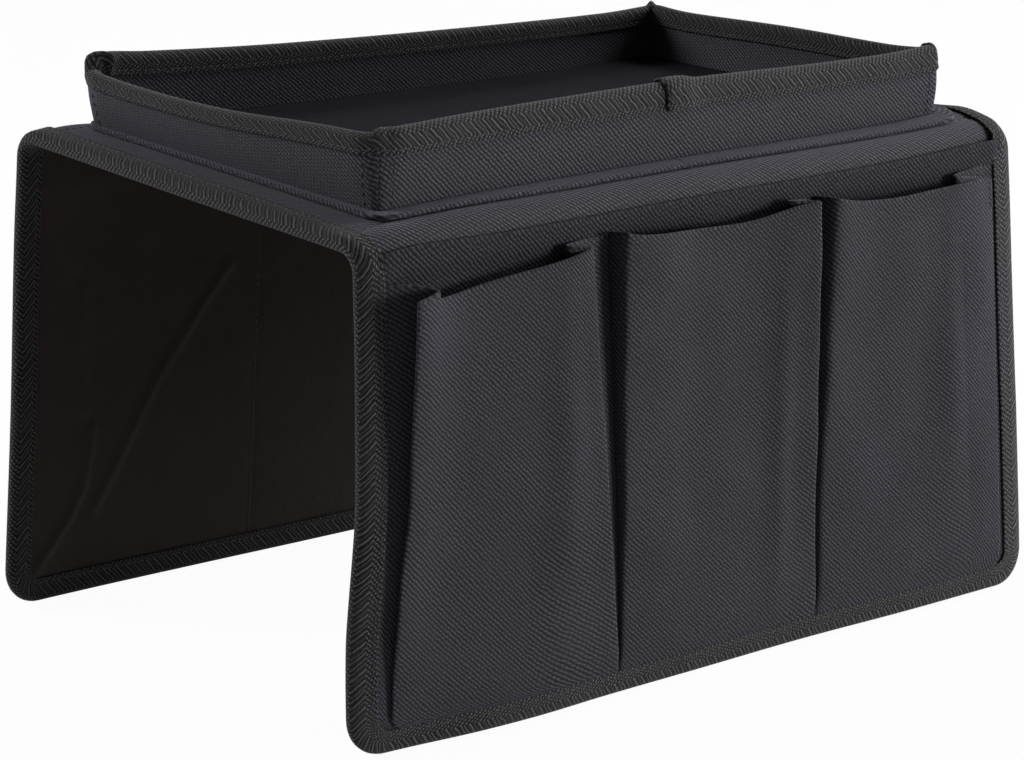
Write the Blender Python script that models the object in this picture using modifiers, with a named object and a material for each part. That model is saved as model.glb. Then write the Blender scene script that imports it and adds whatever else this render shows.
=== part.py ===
"""An armrest organizer: a walled cloth tray on a board-stiffened top, with a pocketed flap over each side.

Lengths are in metres. X runs along the armrest, the front is at -Y and Z is up. The object stands on the
lower edges of its two flaps, with the origin in the middle of its footprint.
"""

import math
from dataclasses import dataclass

import bmesh
import bpy
from mathutils import Vector

# Overall sizes
ORGANIZER_LENGTH = 0.330
WIDTH_OVER_COVERS = 0.190
STANDING_HEIGHT = 0.180

# Cloth, board and tape, and the gap that is left between two layers
COVER_CLOTH = 0.0008
LINING_CLOTH = 0.0005
BOARD = 0.0016
TAPE = 0.0007
TAPE_WIDTH = 0.009
LAYER_GAP = 0.0003

# The fold between the top and a flap: how far the cloth without a board reaches from the fold line
BEND_REACH = 0.0065

# Flaps: how far each hangs away from upright, and how much wider its foot is than its top, on each side
FRONT_SPLAY = math.radians(3.8)
REAR_SPLAY = math.radians(1.3)
FRONT_SPREAD = 0.008
REAR_SPREAD = 0.002
TAPE_INNER_CORNER = 0.005

# Tray: how far its walls stand in from the ends and from the sides of the top, and its height above the top
TRAY_END_MARGIN = 0.0235
TRAY_SIDE_MARGIN = 0.017
TRAY_HEIGHT = 0.030
TRAY_INNER_CORNER = 0.0045
TRAY_FLANGE = 0.0055
WALL_BOARD = 0.0016

# Pockets: the cloth layer that they are sewn on starts this far below the fold line
BACKING_TOP = 0.003
POCKET_CLOTH = 0.0008
POCKET_SEAM = 0.0022
POCKET_FOOT_DEPTH = 0.0018
POCKET_FOOT_FALL = 0.004
POCKET_FOOT_SEAM = 0.003
PLEAT_STEP = 0.0011
MOUTH_SAG = 0.0015
FACE_BULGE = 0.002

# How far a pocket's mouth usually lies below the backing's top edge, and stands out from the backing
MOUTH_DROP = 0.010
MOUTH_DEPTH = 0.0125

# The left and the right end of each mouth, from the left pocket to the right one: its drop and its depth there
# as shares of the usual ones
FRONT_DROP_SHARES = ((1.65, 1.25), (0.90, 0.85), (0.85, 1.00))
FRONT_DEPTH_SHARES = ((1.00, 0.64), (1.00, 0.92), (1.00, 0.64))
REAR_DROP_SHARES = ((0.95, 0.90), (0.90, 0.90), (0.90, 0.95))
REAR_DEPTH_SHARES = ((0.88, 0.84), (0.92, 0.92), (0.84, 0.88))

# How a pleat turns in at a pocket's side, and leans, as shares of the pocket's depth there
PLEAT_FOLD_SHARE = 0.30
PLEAT_LEAN_SHARE = 0.12

# Steps in the round stretches and along the pockets
FOLD_STEPS = 6
BEND_STEPS = 8
CORNER_STEPS = 6
PLEAT_STEPS = 3
FACE_STEPS = 8
DROP_STEPS = 8
POCKET_COLUMNS = FACE_STEPS + 2 * PLEAT_STEPS
POCKET_ROWS = DROP_STEPS + 2

# Where each layer starts, counted outwards from the lining's inner face
BOARD_BASE = LINING_CLOTH + LAYER_GAP
COVER_BASE = BOARD_BASE + BOARD + LAYER_GAP
PANEL = COVER_BASE + COVER_CLOTH
BACKING_BASE = PANEL + LAYER_GAP
POCKET_BASE = BACKING_BASE + COVER_CLOTH + LAYER_GAP

# The fold lines lie on the lining's inner face
FOLD_HEIGHT = STANDING_HEIGHT - PANEL
FOLD_OFFSET = WIDTH_OVER_COVERS / 2 - PANEL
PANEL_START = BEND_REACH + LAYER_GAP
TOP_HALF_WIDTH = FOLD_OFFSET - PANEL_START
HALF_LENGTH = ORGANIZER_LENGTH / 2
INSIDE_TAPE = TAPE_WIDTH + LAYER_GAP
FLAP_CORNER = TAPE_WIDTH + TAPE_INNER_CORNER

# The tray's outside at the foot of its walls
TRAY_LENGTH = ORGANIZER_LENGTH - 2 * TRAY_END_MARGIN
TRAY_WIDTH = WIDTH_OVER_COVERS - 2 * TRAY_SIDE_MARGIN

# The tray wall, counted inwards from its outer face
WALL_STACK = 2 * COVER_CLOTH + 2 * LAYER_GAP + WALL_BOARD
TRAY_CORNER = WALL_STACK + LAYER_GAP + TAPE + TRAY_INNER_CORNER
TRAY_SEAT = LAYER_GAP + COVER_CLOTH + LAYER_GAP
FLOOR_INSET = WALL_STACK + LAYER_GAP

COLLECTION_NAME = "Armrest organizer"


@dataclass(frozen=True)
class Finish:
    """A plain material: its colour, its roughness and whether it is metal."""

    name: str
    colour: tuple
    roughness: float
    metallic: float = 0.0


@dataclass(frozen=True)
class Mouth:
    """A pocket's mouth: how far it lies below the backing's top edge and stands out from it, at its two ends."""

    left_drop: float
    right_drop: float
    left_depth: float
    right_depth: float


@dataclass(frozen=True)
class Flap:
    """One hanging side: which way it faces, how it hangs and the mouths of its pockets."""

    name: str
    turn: float
    splay: float
    spread: float
    mouths: tuple

    def drop(self):
        """The length from the fold line to the foot, so that the tape's round fold just touches the ground."""
        foot_radius = fold_radius(PANEL) + TAPE / 2
        raised = FOLD_HEIGHT - foot_radius + PANEL / 2 * math.sin(self.splay)
        return raised / math.cos(self.splay) + foot_radius

    def reach(self):
        """How far the flap's outermost point lies from the organizer's middle plane."""
        foot = Vector((0.0, -PANEL - LAYER_GAP - TAPE, -self.drop()))
        points = [foot]
        for number in range(len(self.mouths)):
            for column in range(POCKET_COLUMNS + 1):
                for row in range(POCKET_ROWS + 1):
                    points.append(pocket_point(self, number, column, row))
        return FOLD_OFFSET + POCKET_CLOTH / 2 + max(
            -point.z * math.sin(self.splay) - point.y * math.cos(self.splay) for point in points
        )


COVER_FINISH = Finish("charcoal_oxford", (0.024, 0.025, 0.033), 0.85)
POCKET_FINISH = Finish("charcoal_oxford_pocket", (0.025, 0.026, 0.035), 0.85)
LINING_FINISH = Finish("brown_black_lining", (0.020, 0.015, 0.013), 0.7)
TAPE_FINISH = Finish("herringbone_tape", (0.017, 0.017, 0.019), 0.8)
BOARD_FINISH = Finish("grey_board", (0.22, 0.20, 0.18), 0.9)



def mouths_from(drop_shares, depth_shares):
    """A flap's mouths, from the left pocket to the right one."""
    return tuple(
        Mouth(MOUTH_DROP * drops[0], MOUTH_DROP * drops[1], MOUTH_DEPTH * depths[0], MOUTH_DEPTH * depths[1])
        for drops, depths in zip(drop_shares, depth_shares)
    )


FRONT_MOUTHS = mouths_from(FRONT_DROP_SHARES, FRONT_DEPTH_SHARES)
REAR_MOUTHS = mouths_from(REAR_DROP_SHARES, REAR_DEPTH_SHARES)
FRONT_FLAP = Flap("front", 0.0, FRONT_SPLAY, FRONT_SPREAD, FRONT_MOUTHS)
REAR_FLAP = Flap("rear", math.pi, REAR_SPLAY, REAR_SPREAD, REAR_MOUTHS)
POCKET_NAMES = ("left_pocket", "middle_pocket", "right_pocket")


def clear_scene():
    """Remove what the file opened with."""
    for old in list(bpy.data.objects):
        bpy.data.objects.remove(old, do_unlink=True)


def own_collection():
    """The collection that holds the organizer's pieces."""
    found = bpy.data.collections.get(COLLECTION_NAME)
    if found is None:
        found = bpy.data.collections.new(COLLECTION_NAME)
        bpy.context.scene.collection.children.link(found)
    return found


def material_for(piece_name, finish):
    """A material of the piece's own, in the given finish."""
    material = bpy.data.materials.new(f"{piece_name}_{finish.name}")
    material.use_nodes = True
    shader = material.node_tree.nodes["Principled BSDF"]
    shader.inputs["Base Color"].default_value = (*finish.colour, 1.0)
    shader.inputs["Roughness"].default_value = finish.roughness
    shader.inputs["Metallic"].default_value = finish.metallic
    material.diffuse_color = (*finish.colour, 1.0)
    return material


def place_marker(name, location, turn=0.0, splay=0.0):
    """An empty that carries pieces: it is leaned outwards, turned about Z and set at location."""
    marker = bpy.data.objects.new(name, None)
    marker.location = location
    marker.rotation_euler = (-splay, 0.0, turn)
    own_collection().objects.link(marker)
    return marker


def add_piece(name, data, carrier, finish):
    """An object for this mesh or curve, in its finish, carried by a marker."""
    data.materials.append(material_for(name, finish))
    piece = bpy.data.objects.new(name, data)
    piece.parent = carrier
    own_collection().objects.link(piece)
    return piece


def add_plate(name, outline, base, thickness, carrier, finish, upright=False):
    """A flat layer of board or cloth with the given outline, lying on base. An upright one faces -Y."""
    curve = bpy.data.curves.new(name, "CURVE")
    curve.dimensions = "2D"
    curve.fill_mode = "BOTH"
    curve.extrude = thickness / 2
    spline = curve.splines.new("POLY")
    spline.points.add(len(outline) - 1)
    for point, (across, along) in zip(spline.points, outline):
        point.co = (across, along, 0.0, 1.0)
    spline.use_cyclic_u = True
    piece = add_piece(name, curve, carrier, finish)
    middle = base + thickness / 2
    if upright:
        piece.rotation_euler = (math.pi / 2, 0.0, 0.0)
        piece.location = (0.0, -middle, 0.0)
    else:
        piece.location = (0.0, 0.0, middle)
    return piece


def add_box(name, size, centre, carrier, finish):
    """A rectangular board of the given size."""
    mesh = bpy.data.meshes.new(name)
    shape = bmesh.new()
    bmesh.ops.create_cube(shape, size=1.0)
    bmesh.ops.scale(shape, vec=Vector(size), verts=shape.verts)
    shape.to_mesh(mesh)
    shape.free()
    piece = add_piece(name, mesh, carrier, finish)
    piece.location = centre
    return piece


def add_sheet(name, columns, rows, place, thickness, carrier, finish, ring=False):
    """A bent cloth of one thickness, whose middle surface runs through place(column, row)."""
    mesh = bpy.data.meshes.new(name)
    surface = bmesh.new()
    bmesh.ops.create_grid(surface, x_segments=columns, y_segments=rows, size=0.5)
    for vertex in surface.verts:
        column = round((vertex.co.x + 0.5) * columns)
        row = round((vertex.co.y + 0.5) * rows)
        vertex.co = place(column, row % rows if ring else row)
    if ring:
        bmesh.ops.remove_doubles(surface, verts=surface.verts, dist=LAYER_GAP / 100)
    bmesh.ops.recalc_face_normals(surface, faces=surface.faces)
    surface.to_mesh(mesh)
    surface.free()
    piece = add_piece(name, mesh, carrier, finish)
    solidify = piece.modifiers.new("Thickness", "SOLIDIFY")
    solidify.thickness = thickness
    solidify.offset = 0.0
    solidify.use_even_offset = True
    mesh.shade_smooth()
    mesh.set_sharp_from_angle(angle=math.radians(40))
    return piece


def rectangle(half_across, half_along):
    """The four corners of a rectangle about the origin."""
    return [
        (-half_across, -half_along),
        (half_across, -half_along),
        (half_across, half_along),
        (-half_across, half_along),
    ]


def arc(centre, radius, start, end, steps):
    """Points along an arc, with both of its ends."""
    return [
        (
            centre[0] + radius * math.cos(start + (end - start) * step / steps),
            centre[1] + radius * math.sin(start + (end - start) * step / steps),
        )
        for step in range(steps + 1)
    ]


def fold_radius(stack):
    """The radius of the middle of a tape that is folded over the edge of a stack of layers."""
    return stack / 2 + LAYER_GAP + TAPE / 2


def edge_inset(stack):
    """How far the stack's square edge stays inside the outside of the tape's round fold."""
    inner_radius = fold_radius(stack) - TAPE / 2
    reach = math.sqrt(inner_radius**2 - (stack / 2) ** 2)
    return TAPE + inner_radius - reach + LAYER_GAP


def tape_profile(stack):
    """A folded tape's cross-section as (inset from its outer edge, offset through the stack) pairs."""
    radius = fold_radius(stack)
    outer = stack / 2 + radius
    inner = stack / 2 - radius
    round_part = arc((TAPE / 2 + radius, stack / 2), radius, math.pi / 2, 3 * math.pi / 2, FOLD_STEPS)
    return [(TAPE_WIDTH, outer), *round_part, (TAPE_WIDTH, inner)]


def flap_outline(flap, inset, top):
    """The flap's free sides at an inset from the tape's outer edge, as (x, z) from top left round to top right."""
    drop = flap.drop()
    lean = math.atan2(flap.spread, drop - BEND_REACH)
    sin_lean = math.sin(lean)
    cos_lean = math.cos(lean)
    down = (drop - BEND_REACH - FLAP_CORNER * (1 + sin_lean)) / cos_lean
    centre = (-HALF_LENGTH + FLAP_CORNER * cos_lean - down * sin_lean, FLAP_CORNER - drop)
    start = (top - BEND_REACH - inset * sin_lean) / cos_lean
    left = [(-HALF_LENGTH + inset * cos_lean - start * sin_lean, -top)]
    left += arc(centre, FLAP_CORNER - inset, math.pi - lean, 3 * math.pi / 2, CORNER_STEPS)
    return left + [(-across, height) for across, height in reversed(left)]


def side_at(flap, height):
    """Half the width between the tapes' inner edges, at this height under the fold line."""
    lean = math.atan2(flap.spread, flap.drop() - BEND_REACH)
    widened = (-height - BEND_REACH) * math.tan(lean)
    return HALF_LENGTH + widened - INSIDE_TAPE / math.cos(lean)


def tray_outline(inset):
    """The tray's rounded rectangle at an inset from the outer face of its walls."""
    half_across = TRAY_LENGTH / 2 - TRAY_CORNER
    half_along = TRAY_WIDTH / 2 - TRAY_CORNER
    corners = rectangle(half_across, half_along)
    points = []
    for number, corner in enumerate(corners):
        start = math.pi + number * math.pi / 2
        points += arc(corner, TRAY_CORNER - inset, start, start + math.pi / 2, CORNER_STEPS)
    return points


def build_top(carrier):
    """The top panel: cover, board and lining, with a tape folded over each free end."""
    half_cover = HALF_LENGTH - edge_inset(PANEL)
    half_board = HALF_LENGTH - TAPE_WIDTH
    half_lining = HALF_LENGTH - INSIDE_TAPE
    cover = rectangle(half_cover, TOP_HALF_WIDTH)
    board = rectangle(half_board, TOP_HALF_WIDTH)
    lining = rectangle(half_lining, TOP_HALF_WIDTH)
    add_plate("top_cover", cover, COVER_BASE, COVER_CLOTH, carrier, COVER_FINISH)
    add_plate("top_board", board, BOARD_BASE, BOARD, carrier, BOARD_FINISH)
    add_plate("top_lining", lining, 0.0, LINING_CLOTH, carrier, LINING_FINISH)
    profile = tape_profile(PANEL)
    for side_name, side in (("left", -1), ("right", 1)):

        def place(column, row, side=side):
            inset, offset = profile[column]
            along = TOP_HALF_WIDTH if row else -TOP_HALF_WIDTH
            return Vector((side * (HALF_LENGTH - inset), along, offset))

        add_sheet(f"top_{side_name}_tape", len(profile) - 1, 1, place, TAPE, carrier, TAPE_FINISH)


def build_fold(flap, carrier):
    """The cloth and tape that run round the fold between the top and a flap."""
    inner_radius = BEND_REACH * math.tan((math.pi / 2 + flap.splay) / 2)
    half_cover = HALF_LENGTH - edge_inset(PANEL)
    half_lining = HALF_LENGTH - INSIDE_TAPE

    def around(offset, row):
        """The point on the fold at this offset outwards from the lining, as (y, z)."""
        turned = math.pi / 2 + (math.pi / 2 - flap.splay) * row / BEND_STEPS
        radius = inner_radius + offset
        return BEND_REACH + radius * math.cos(turned), radius * math.sin(turned) - inner_radius

    def bent_layer(name, half_width, offset, thickness, finish):
        def place(column, row):
            across = half_width if column else -half_width
            return Vector((across, *around(offset + thickness / 2, row)))

        add_sheet(name, 1, BEND_STEPS, place, thickness, carrier, finish)

    bent_layer(f"{flap.name}_bend_cover", half_cover, COVER_BASE, COVER_CLOTH, COVER_FINISH)
    bent_layer(f"{flap.name}_bend_lining", half_lining, 0.0, LINING_CLOTH, LINING_FINISH)
    profile = tape_profile(PANEL)
    for side_name, side in (("left", -1), ("right", 1)):

        def place(column, row, side=side):
            inset, offset = profile[column]
            return Vector((side * (HALF_LENGTH - inset), *around(offset, row)))

        name = f"{flap.name}_bend_{side_name}_tape"
        add_sheet(name, len(profile) - 1, BEND_STEPS, place, TAPE, carrier, TAPE_FINISH)


def build_flap_panel(flap, carrier):
    """A flap's cover, board, lining, edge tape and the backing of its pockets."""
    cover = flap_outline(flap, edge_inset(PANEL), PANEL_START)
    board = flap_outline(flap, TAPE_WIDTH, PANEL_START)
    lining = flap_outline(flap, INSIDE_TAPE, PANEL_START)
    backing = flap_outline(flap, INSIDE_TAPE, BACKING_TOP)
    start = flap.name
    add_plate(f"{start}_flap_cover", cover, COVER_BASE, COVER_CLOTH, carrier, COVER_FINISH, True)
    add_plate(f"{start}_flap_board", board, BOARD_BASE, BOARD, carrier, BOARD_FINISH, True)
    add_plate(f"{start}_flap_lining", lining, 0.0, LINING_CLOTH, carrier, LINING_FINISH, True)
    add_plate(f"{start}_pocket_backing", backing, BACKING_BASE, COVER_CLOTH, carrier, COVER_FINISH, True)
    profile = tape_profile(PANEL)
    paths = [flap_outline(flap, inset, PANEL_START) for inset, _ in profile]

    def place(column, row):
        across, height = paths[column][row]
        return Vector((across, -profile[column][1], height))

    columns = len(profile) - 1
    rows = len(paths[0]) - 1
    add_sheet(f"{start}_flap_tape", columns, rows, place, TAPE, carrier, TAPE_FINISH)


def pocket_point(flap, number, column, row):
    """A point on the middle of a pocket's cloth. Columns run over its sewn edge, pleat, face and pleat again."""
    mouth = flap.mouths[number]
    share = min(max((column - PLEAT_STEPS) / FACE_STEPS, 0.0), 1.0)
    down = min(row / DROP_STEPS, 1.0)
    foot = INSIDE_TAPE - flap.drop()
    drop = mouth.left_drop + (mouth.right_drop - mouth.left_drop) * share
    top = -BACKING_TOP - drop - MOUTH_SAG * math.sin(math.pi * share)
    height = top + (foot + POCKET_FOOT_SEAM + POCKET_FOOT_FALL - top) * down
    opened = mouth.left_depth + (mouth.right_depth - mouth.left_depth) * share
    depth = opened + (POCKET_FOOT_DEPTH - opened) * down
    if row > DROP_STEPS:
        height = foot + POCKET_FOOT_SEAM * (POCKET_ROWS - row)
        depth = 0.0
    divider = (HALF_LENGTH - INSIDE_TAPE) / len(flap.mouths)
    edges = [-side_at(flap, height), -divider, divider, side_at(flap, height)]
    left = edges[number] + LAYER_GAP / 2
    right = edges[number + 1] - LAYER_GAP / 2
    fold_in = PLEAT_FOLD_SHARE * depth
    lean_in = PLEAT_LEAN_SHARE * depth
    insets = [0.0, POCKET_SEAM, POCKET_SEAM + PLEAT_STEP + fold_in, POCKET_SEAM + 2 * PLEAT_STEP + lean_in]
    offsets = [0.0, 0.0, depth / 2, depth]
    at_side = min(column, POCKET_COLUMNS - column, PLEAT_STEPS)
    face_left = left + insets[PLEAT_STEPS]
    face_right = right - insets[PLEAT_STEPS]
    if column < PLEAT_STEPS:
        across = left + insets[at_side]
    elif column > POCKET_COLUMNS - PLEAT_STEPS:
        across = right - insets[at_side]
    else:
        across = face_left + (face_right - face_left) * share
    swell = FACE_BULGE * math.sin(math.pi * share) * math.sin(math.pi * down)
    return Vector((across, -POCKET_BASE - POCKET_CLOTH / 2 - offsets[at_side] - swell, height))


def build_pocket(flap, number, carrier):
    """One pleated pocket: a face that leans out towards its mouth, between two sides that turn in."""

    def place(column, row):
        return pocket_point(flap, number, column, row)

    name = f"{flap.name}_{POCKET_NAMES[number]}"
    add_sheet(name, POCKET_COLUMNS, POCKET_ROWS, place, POCKET_CLOTH, carrier, POCKET_FINISH)


def build_wall(name, along, across, turn, carrier):
    """One tray wall: cloth folded over a board, from the middle of one corner to the middle of the next."""
    wall_top = TRAY_HEIGHT - edge_inset(WALL_STACK)
    outer = COVER_CLOTH / 2
    inner = WALL_STACK - COVER_CLOTH / 2
    profile = [(outer, TRAY_SEAT), (outer, wall_top - outer), (inner, wall_top - outer), (inner, TRAY_SEAT)]
    half_straight = along / 2 - TRAY_CORNER
    middle = across / 2 - TRAY_CORNER
    seam_turn = LAYER_GAP / 2 / (TRAY_CORNER - WALL_STACK)
    eighth = math.pi / 4 - seam_turn
    down = 3 * math.pi / 2
    half_steps = CORNER_STEPS // 2
    paths = []
    for inset, _ in profile:
        radius = TRAY_CORNER - inset
        left = arc((-half_straight, -middle), radius, down - eighth, down, half_steps)
        right = arc((half_straight, -middle), radius, down, down + eighth, half_steps)
        paths.append(left + right)

    def place(column, row):
        return Vector((*paths[column][row], profile[column][1]))

    columns = len(profile) - 1
    rows = len(paths[0]) - 1
    wall = add_sheet(f"tray_{name}_wall", columns, rows, place, COVER_CLOTH, carrier, COVER_FINISH)
    wall.rotation_euler = (0.0, 0.0, turn)
    board_top = wall_top - COVER_CLOTH - LAYER_GAP
    size = (2 * half_straight, WALL_BOARD, board_top - TRAY_SEAT)
    centre = Vector((0.0, WALL_STACK / 2 - across / 2, (board_top + TRAY_SEAT) / 2))
    board = add_box(f"tray_{name}_stiffener", size, centre, carrier, BOARD_FINISH)
    centre.rotate(wall.rotation_euler)
    board.location = centre
    board.rotation_euler = wall.rotation_euler


def build_tray(carrier):
    """The tray: base cloth, floor, four walls and the tape folded over their tops."""
    add_plate("tray_base_cloth", tray_outline(-TRAY_FLANGE), LAYER_GAP, COVER_CLOTH, carrier, COVER_FINISH)
    floor = tray_outline(FLOOR_INSET)
    cloth_base = TRAY_SEAT + BOARD + LAYER_GAP
    add_plate("tray_floor_board", floor, TRAY_SEAT, BOARD, carrier, BOARD_FINISH)
    add_plate("tray_floor_cloth", floor, cloth_base, COVER_CLOTH, carrier, COVER_FINISH)
    build_wall("front", TRAY_LENGTH, TRAY_WIDTH, 0.0, carrier)
    build_wall("right", TRAY_WIDTH, TRAY_LENGTH, math.pi / 2, carrier)
    build_wall("rear", TRAY_LENGTH, TRAY_WIDTH, math.pi, carrier)
    build_wall("left", TRAY_WIDTH, TRAY_LENGTH, 3 * math.pi / 2, carrier)
    profile = tape_profile(WALL_STACK)
    rings = [tray_outline(offset) for _, offset in profile]

    def place(column, row):
        return Vector((*rings[column][row], TRAY_HEIGHT - profile[column][0]))

    columns = len(profile) - 1
    add_sheet("tray_rim_tape", columns, len(rings[0]), place, TAPE, carrier, TAPE_FINISH, ring=True)


def build_side(flap, middle):
    """A flap with its fold and its pockets, carried on the fold line."""
    facing = math.cos(flap.turn)
    fold_line = (0.0, middle - facing * FOLD_OFFSET, FOLD_HEIGHT)
    build_fold(flap, place_marker(f"{flap.name}_fold", fold_line, flap.turn))
    hanging = place_marker(f"{flap.name}_flap_axis", fold_line, flap.turn, flap.splay)
    build_flap_panel(flap, hanging)
    for number in range(len(flap.mouths)):
        build_pocket(flap, number, hanging)


def build_organizer():
    """All of the organizer, with the middle of its footprint at the origin."""
    clear_scene()
    middle = (FRONT_FLAP.reach() - REAR_FLAP.reach()) / 2
    build_top(place_marker("top_underside", (0.0, middle, FOLD_HEIGHT)))
    build_tray(place_marker("top_surface", (0.0, middle, STANDING_HEIGHT)))
    for flap in (FRONT_FLAP, REAR_FLAP):
        build_side(flap, middle)


build_organizer()
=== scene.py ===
"""The looks of an armrest organizer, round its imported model: a cloth tray on a top with two pocketed flaps.

Lengths are in metres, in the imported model's own frame: X runs along the armrest, the front is at -Y, Z is up.
"""
import logging
import math
from dataclasses import dataclass, field, replace
from enum import Enum
from typing import Callable

import bpy
import numpy as np
from mathutils import Matrix, Vector


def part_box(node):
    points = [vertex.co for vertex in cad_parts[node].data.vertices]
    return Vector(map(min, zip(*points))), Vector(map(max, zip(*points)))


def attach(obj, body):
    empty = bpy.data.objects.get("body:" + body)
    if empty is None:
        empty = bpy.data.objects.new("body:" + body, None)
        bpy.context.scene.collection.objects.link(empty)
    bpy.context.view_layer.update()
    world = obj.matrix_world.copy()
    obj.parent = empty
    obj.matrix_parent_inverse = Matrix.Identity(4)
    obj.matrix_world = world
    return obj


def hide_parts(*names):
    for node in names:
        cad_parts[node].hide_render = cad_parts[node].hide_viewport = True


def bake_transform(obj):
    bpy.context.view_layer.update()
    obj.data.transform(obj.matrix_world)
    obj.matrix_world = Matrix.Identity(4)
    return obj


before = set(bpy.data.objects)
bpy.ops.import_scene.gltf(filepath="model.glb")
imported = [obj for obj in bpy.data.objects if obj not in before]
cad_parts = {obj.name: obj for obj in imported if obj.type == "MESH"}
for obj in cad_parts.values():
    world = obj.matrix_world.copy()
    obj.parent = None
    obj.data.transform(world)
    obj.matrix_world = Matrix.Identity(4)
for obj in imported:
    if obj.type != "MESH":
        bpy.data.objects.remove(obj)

LOG = logging.getLogger("organizer")
Values = np.ndarray | float

# Cloth, board and tape, and the gap between two layers
MILLIMETRE = 0.001
COVER_CLOTH = 0.0008
POCKET_CLOTH = 0.0007
LINING_CLOTH = 0.0005
BOARD = 0.0016
TAPE = 0.0007
TAPE_WIDTH = 0.009
TAPE_SEAM = 0.0016
LAYER_GAP = 0.0003
BOARD_BASE = LINING_CLOTH + LAYER_GAP
COVER_BASE = BOARD_BASE + BOARD + LAYER_GAP
PANEL = COVER_BASE + COVER_CLOTH
BACKING_BASE = PANEL + LAYER_GAP
POCKET_BASE = BACKING_BASE + COVER_CLOTH + LAYER_GAP

# Sewing thread: a stitch's length with its gap, the gap, and the thread's thickness
STITCH = 0.0030
STITCH_GAP = 0.0007
TAPE_STITCH_GAP = 0.0006
MARGIN_STITCH = 0.0032
THREAD = 0.0005
THREAD_SIDES = 6
TAPE_PROUD = LAYER_GAP + TAPE * 0.6

# The organizer's plan
HALF_LENGTH = 0.165
FOLD_OFFSET = 0.0915
BEND_REACH = 0.0065
LINING_LOW, LINING_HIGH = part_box("top_lining")
MIDDLE = (LINING_LOW.y + LINING_HIGH.y) / 2
FOLD_HEIGHT = LINING_LOW.z
FLAP_CORNER = 0.014
POCKET_INSET = TAPE_WIDTH - 0.0005
BACKING_INSET = TAPE_WIDTH - 0.0035
DIVIDER = (HALF_LENGTH - TAPE_WIDTH) / 3
MARGIN_SEAM = -0.0088

# How the soft top and its flaps bow, by X
TOP_PLACES = (-0.165, -0.150, -0.120, 0.0, 0.080, 0.150, 0.165)
TOP_LEVELS = (-0.0024, -0.0002, 0.0, 0.0008, 0.0013, 0.0020, 0.0019)
TOP_TILTS = (0.047, 0.040, 0.020, -0.010, -0.012, -0.014, -0.014)
SHOULDER_DIP = 0.0022
SHOULDER_RISE = 0.0014
FLAP_PLACES = (-0.170, -0.148, -0.116, -0.088, -0.058, -0.030, 0.047, 0.100, 0.165)

# The camera that was fitted to the photograph
PHOTO_WIDTH = 1024
SENSOR = 36.0
FOCAL_PIXELS = 3772.45
EYE = Vector((-0.95582, -1.00729 + MIDDLE, 0.44146))
EYE_YAW = 0.7576
EYE_PITCH = -0.25206
EYE_ROLL = 0.03681

# The studio
FLOOR_REACH = 12.0
FLOOR_DROP = 0.0006
FLOOR_GLOW = 0.96
FLOOR_GREY = 0.84
ROOM_LIGHT = 0.03
LAMP_AIM = Vector((0.0, 0.0, 0.1))
LAMP_DISTANCE = 2.2


class Body(Enum):
    """The bodies that pieces ride on."""

    TOP = "top"
    FRONT = "front_flap"
    REAR = "rear_flap"


class Slot(Enum):
    """The record's material slots."""

    COVER = "cover_cloth"
    POCKET = "pocket_cloth"
    LINING = "lining_cloth"
    TAPE = "binding_tape"
    BOARD = "board"


def smooth(value: Values, start: float, end: float) -> np.ndarray:
    """A smooth step from 0 at start to 1 at end."""
    share = np.clip((np.asarray(value, float) - start) / (end - start), 0.0, 1.0)
    return share * share * (3.0 - 2.0 * share)


def bump(value: Values, middle: float, reach: float) -> np.ndarray:
    """A round bump of height 1 that falls to about a third at its reach."""
    return np.exp(-(((np.asarray(value, float) - middle) / reach) ** 2))


def through(value: Values, places: tuple, heights: tuple) -> np.ndarray:
    """A soft curve through given heights.

    Args:
        value: Where to read the curve.
        places: Rising places of the known heights.
        heights: The heights there.

    Returns:
        The curve's height at each value.
    """
    known, levels = np.asarray(places, float), np.asarray(heights, float)
    at = np.clip(np.asarray(value, float), known[0], known[-1])
    slopes = np.gradient(levels, known)
    index = np.clip(np.searchsorted(known, at, side="right") - 1, 0, len(known) - 2)
    width = known[index + 1] - known[index]
    t = (at - known[index]) / width
    lower = (1 + 2 * t) * (1 - t) ** 2 * levels[index] + t * (1 - t) ** 2 * width * slopes[index]
    upper = t * t * (3 - 2 * t) * levels[index + 1] + t * t * (t - 1) * width * slopes[index + 1]
    return lower + upper


def unit(vectors: np.ndarray) -> np.ndarray:
    """The vectors at length 1."""
    return vectors / np.maximum(np.linalg.norm(vectors, axis=-1, keepdims=True), 1e-12)


def spread(*values: object) -> list[np.ndarray]:
    """Numbers and arrays as arrays of one shape."""
    return np.broadcast_arrays(*[np.asarray(value, float) for value in values])


def pairs(first: object, second: object) -> np.ndarray:
    """The pairs of two arrays' values."""
    return np.stack(spread(first, second), -1)


@dataclass(frozen=True)
class Ripples:
    """Gentle unevenness of cloth, as a sum of waves in seeded directions."""

    seed: int
    length: float
    height: float
    waves: int = 9

    def at(self, u: np.ndarray, v: np.ndarray) -> np.ndarray:
        """The unevenness at cloth places.

        Args:
            u: Places across.
            v: Places along.

        Returns:
            The height at each place.
        """
        draw = np.random.default_rng(self.seed)
        total = np.zeros(np.broadcast(u, v).shape)
        for _ in range(self.waves):
            turn = draw.uniform(0.0, math.pi)
            size = self.length * draw.uniform(0.6, 1.7)
            phase = draw.uniform(0.0, 2 * math.pi)
            total = total + np.sin(2 * math.pi * (np.cos(turn) * u + np.sin(turn) * v) / size + phase)
        return total * self.height / math.sqrt(self.waves)


# Meshes


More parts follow.
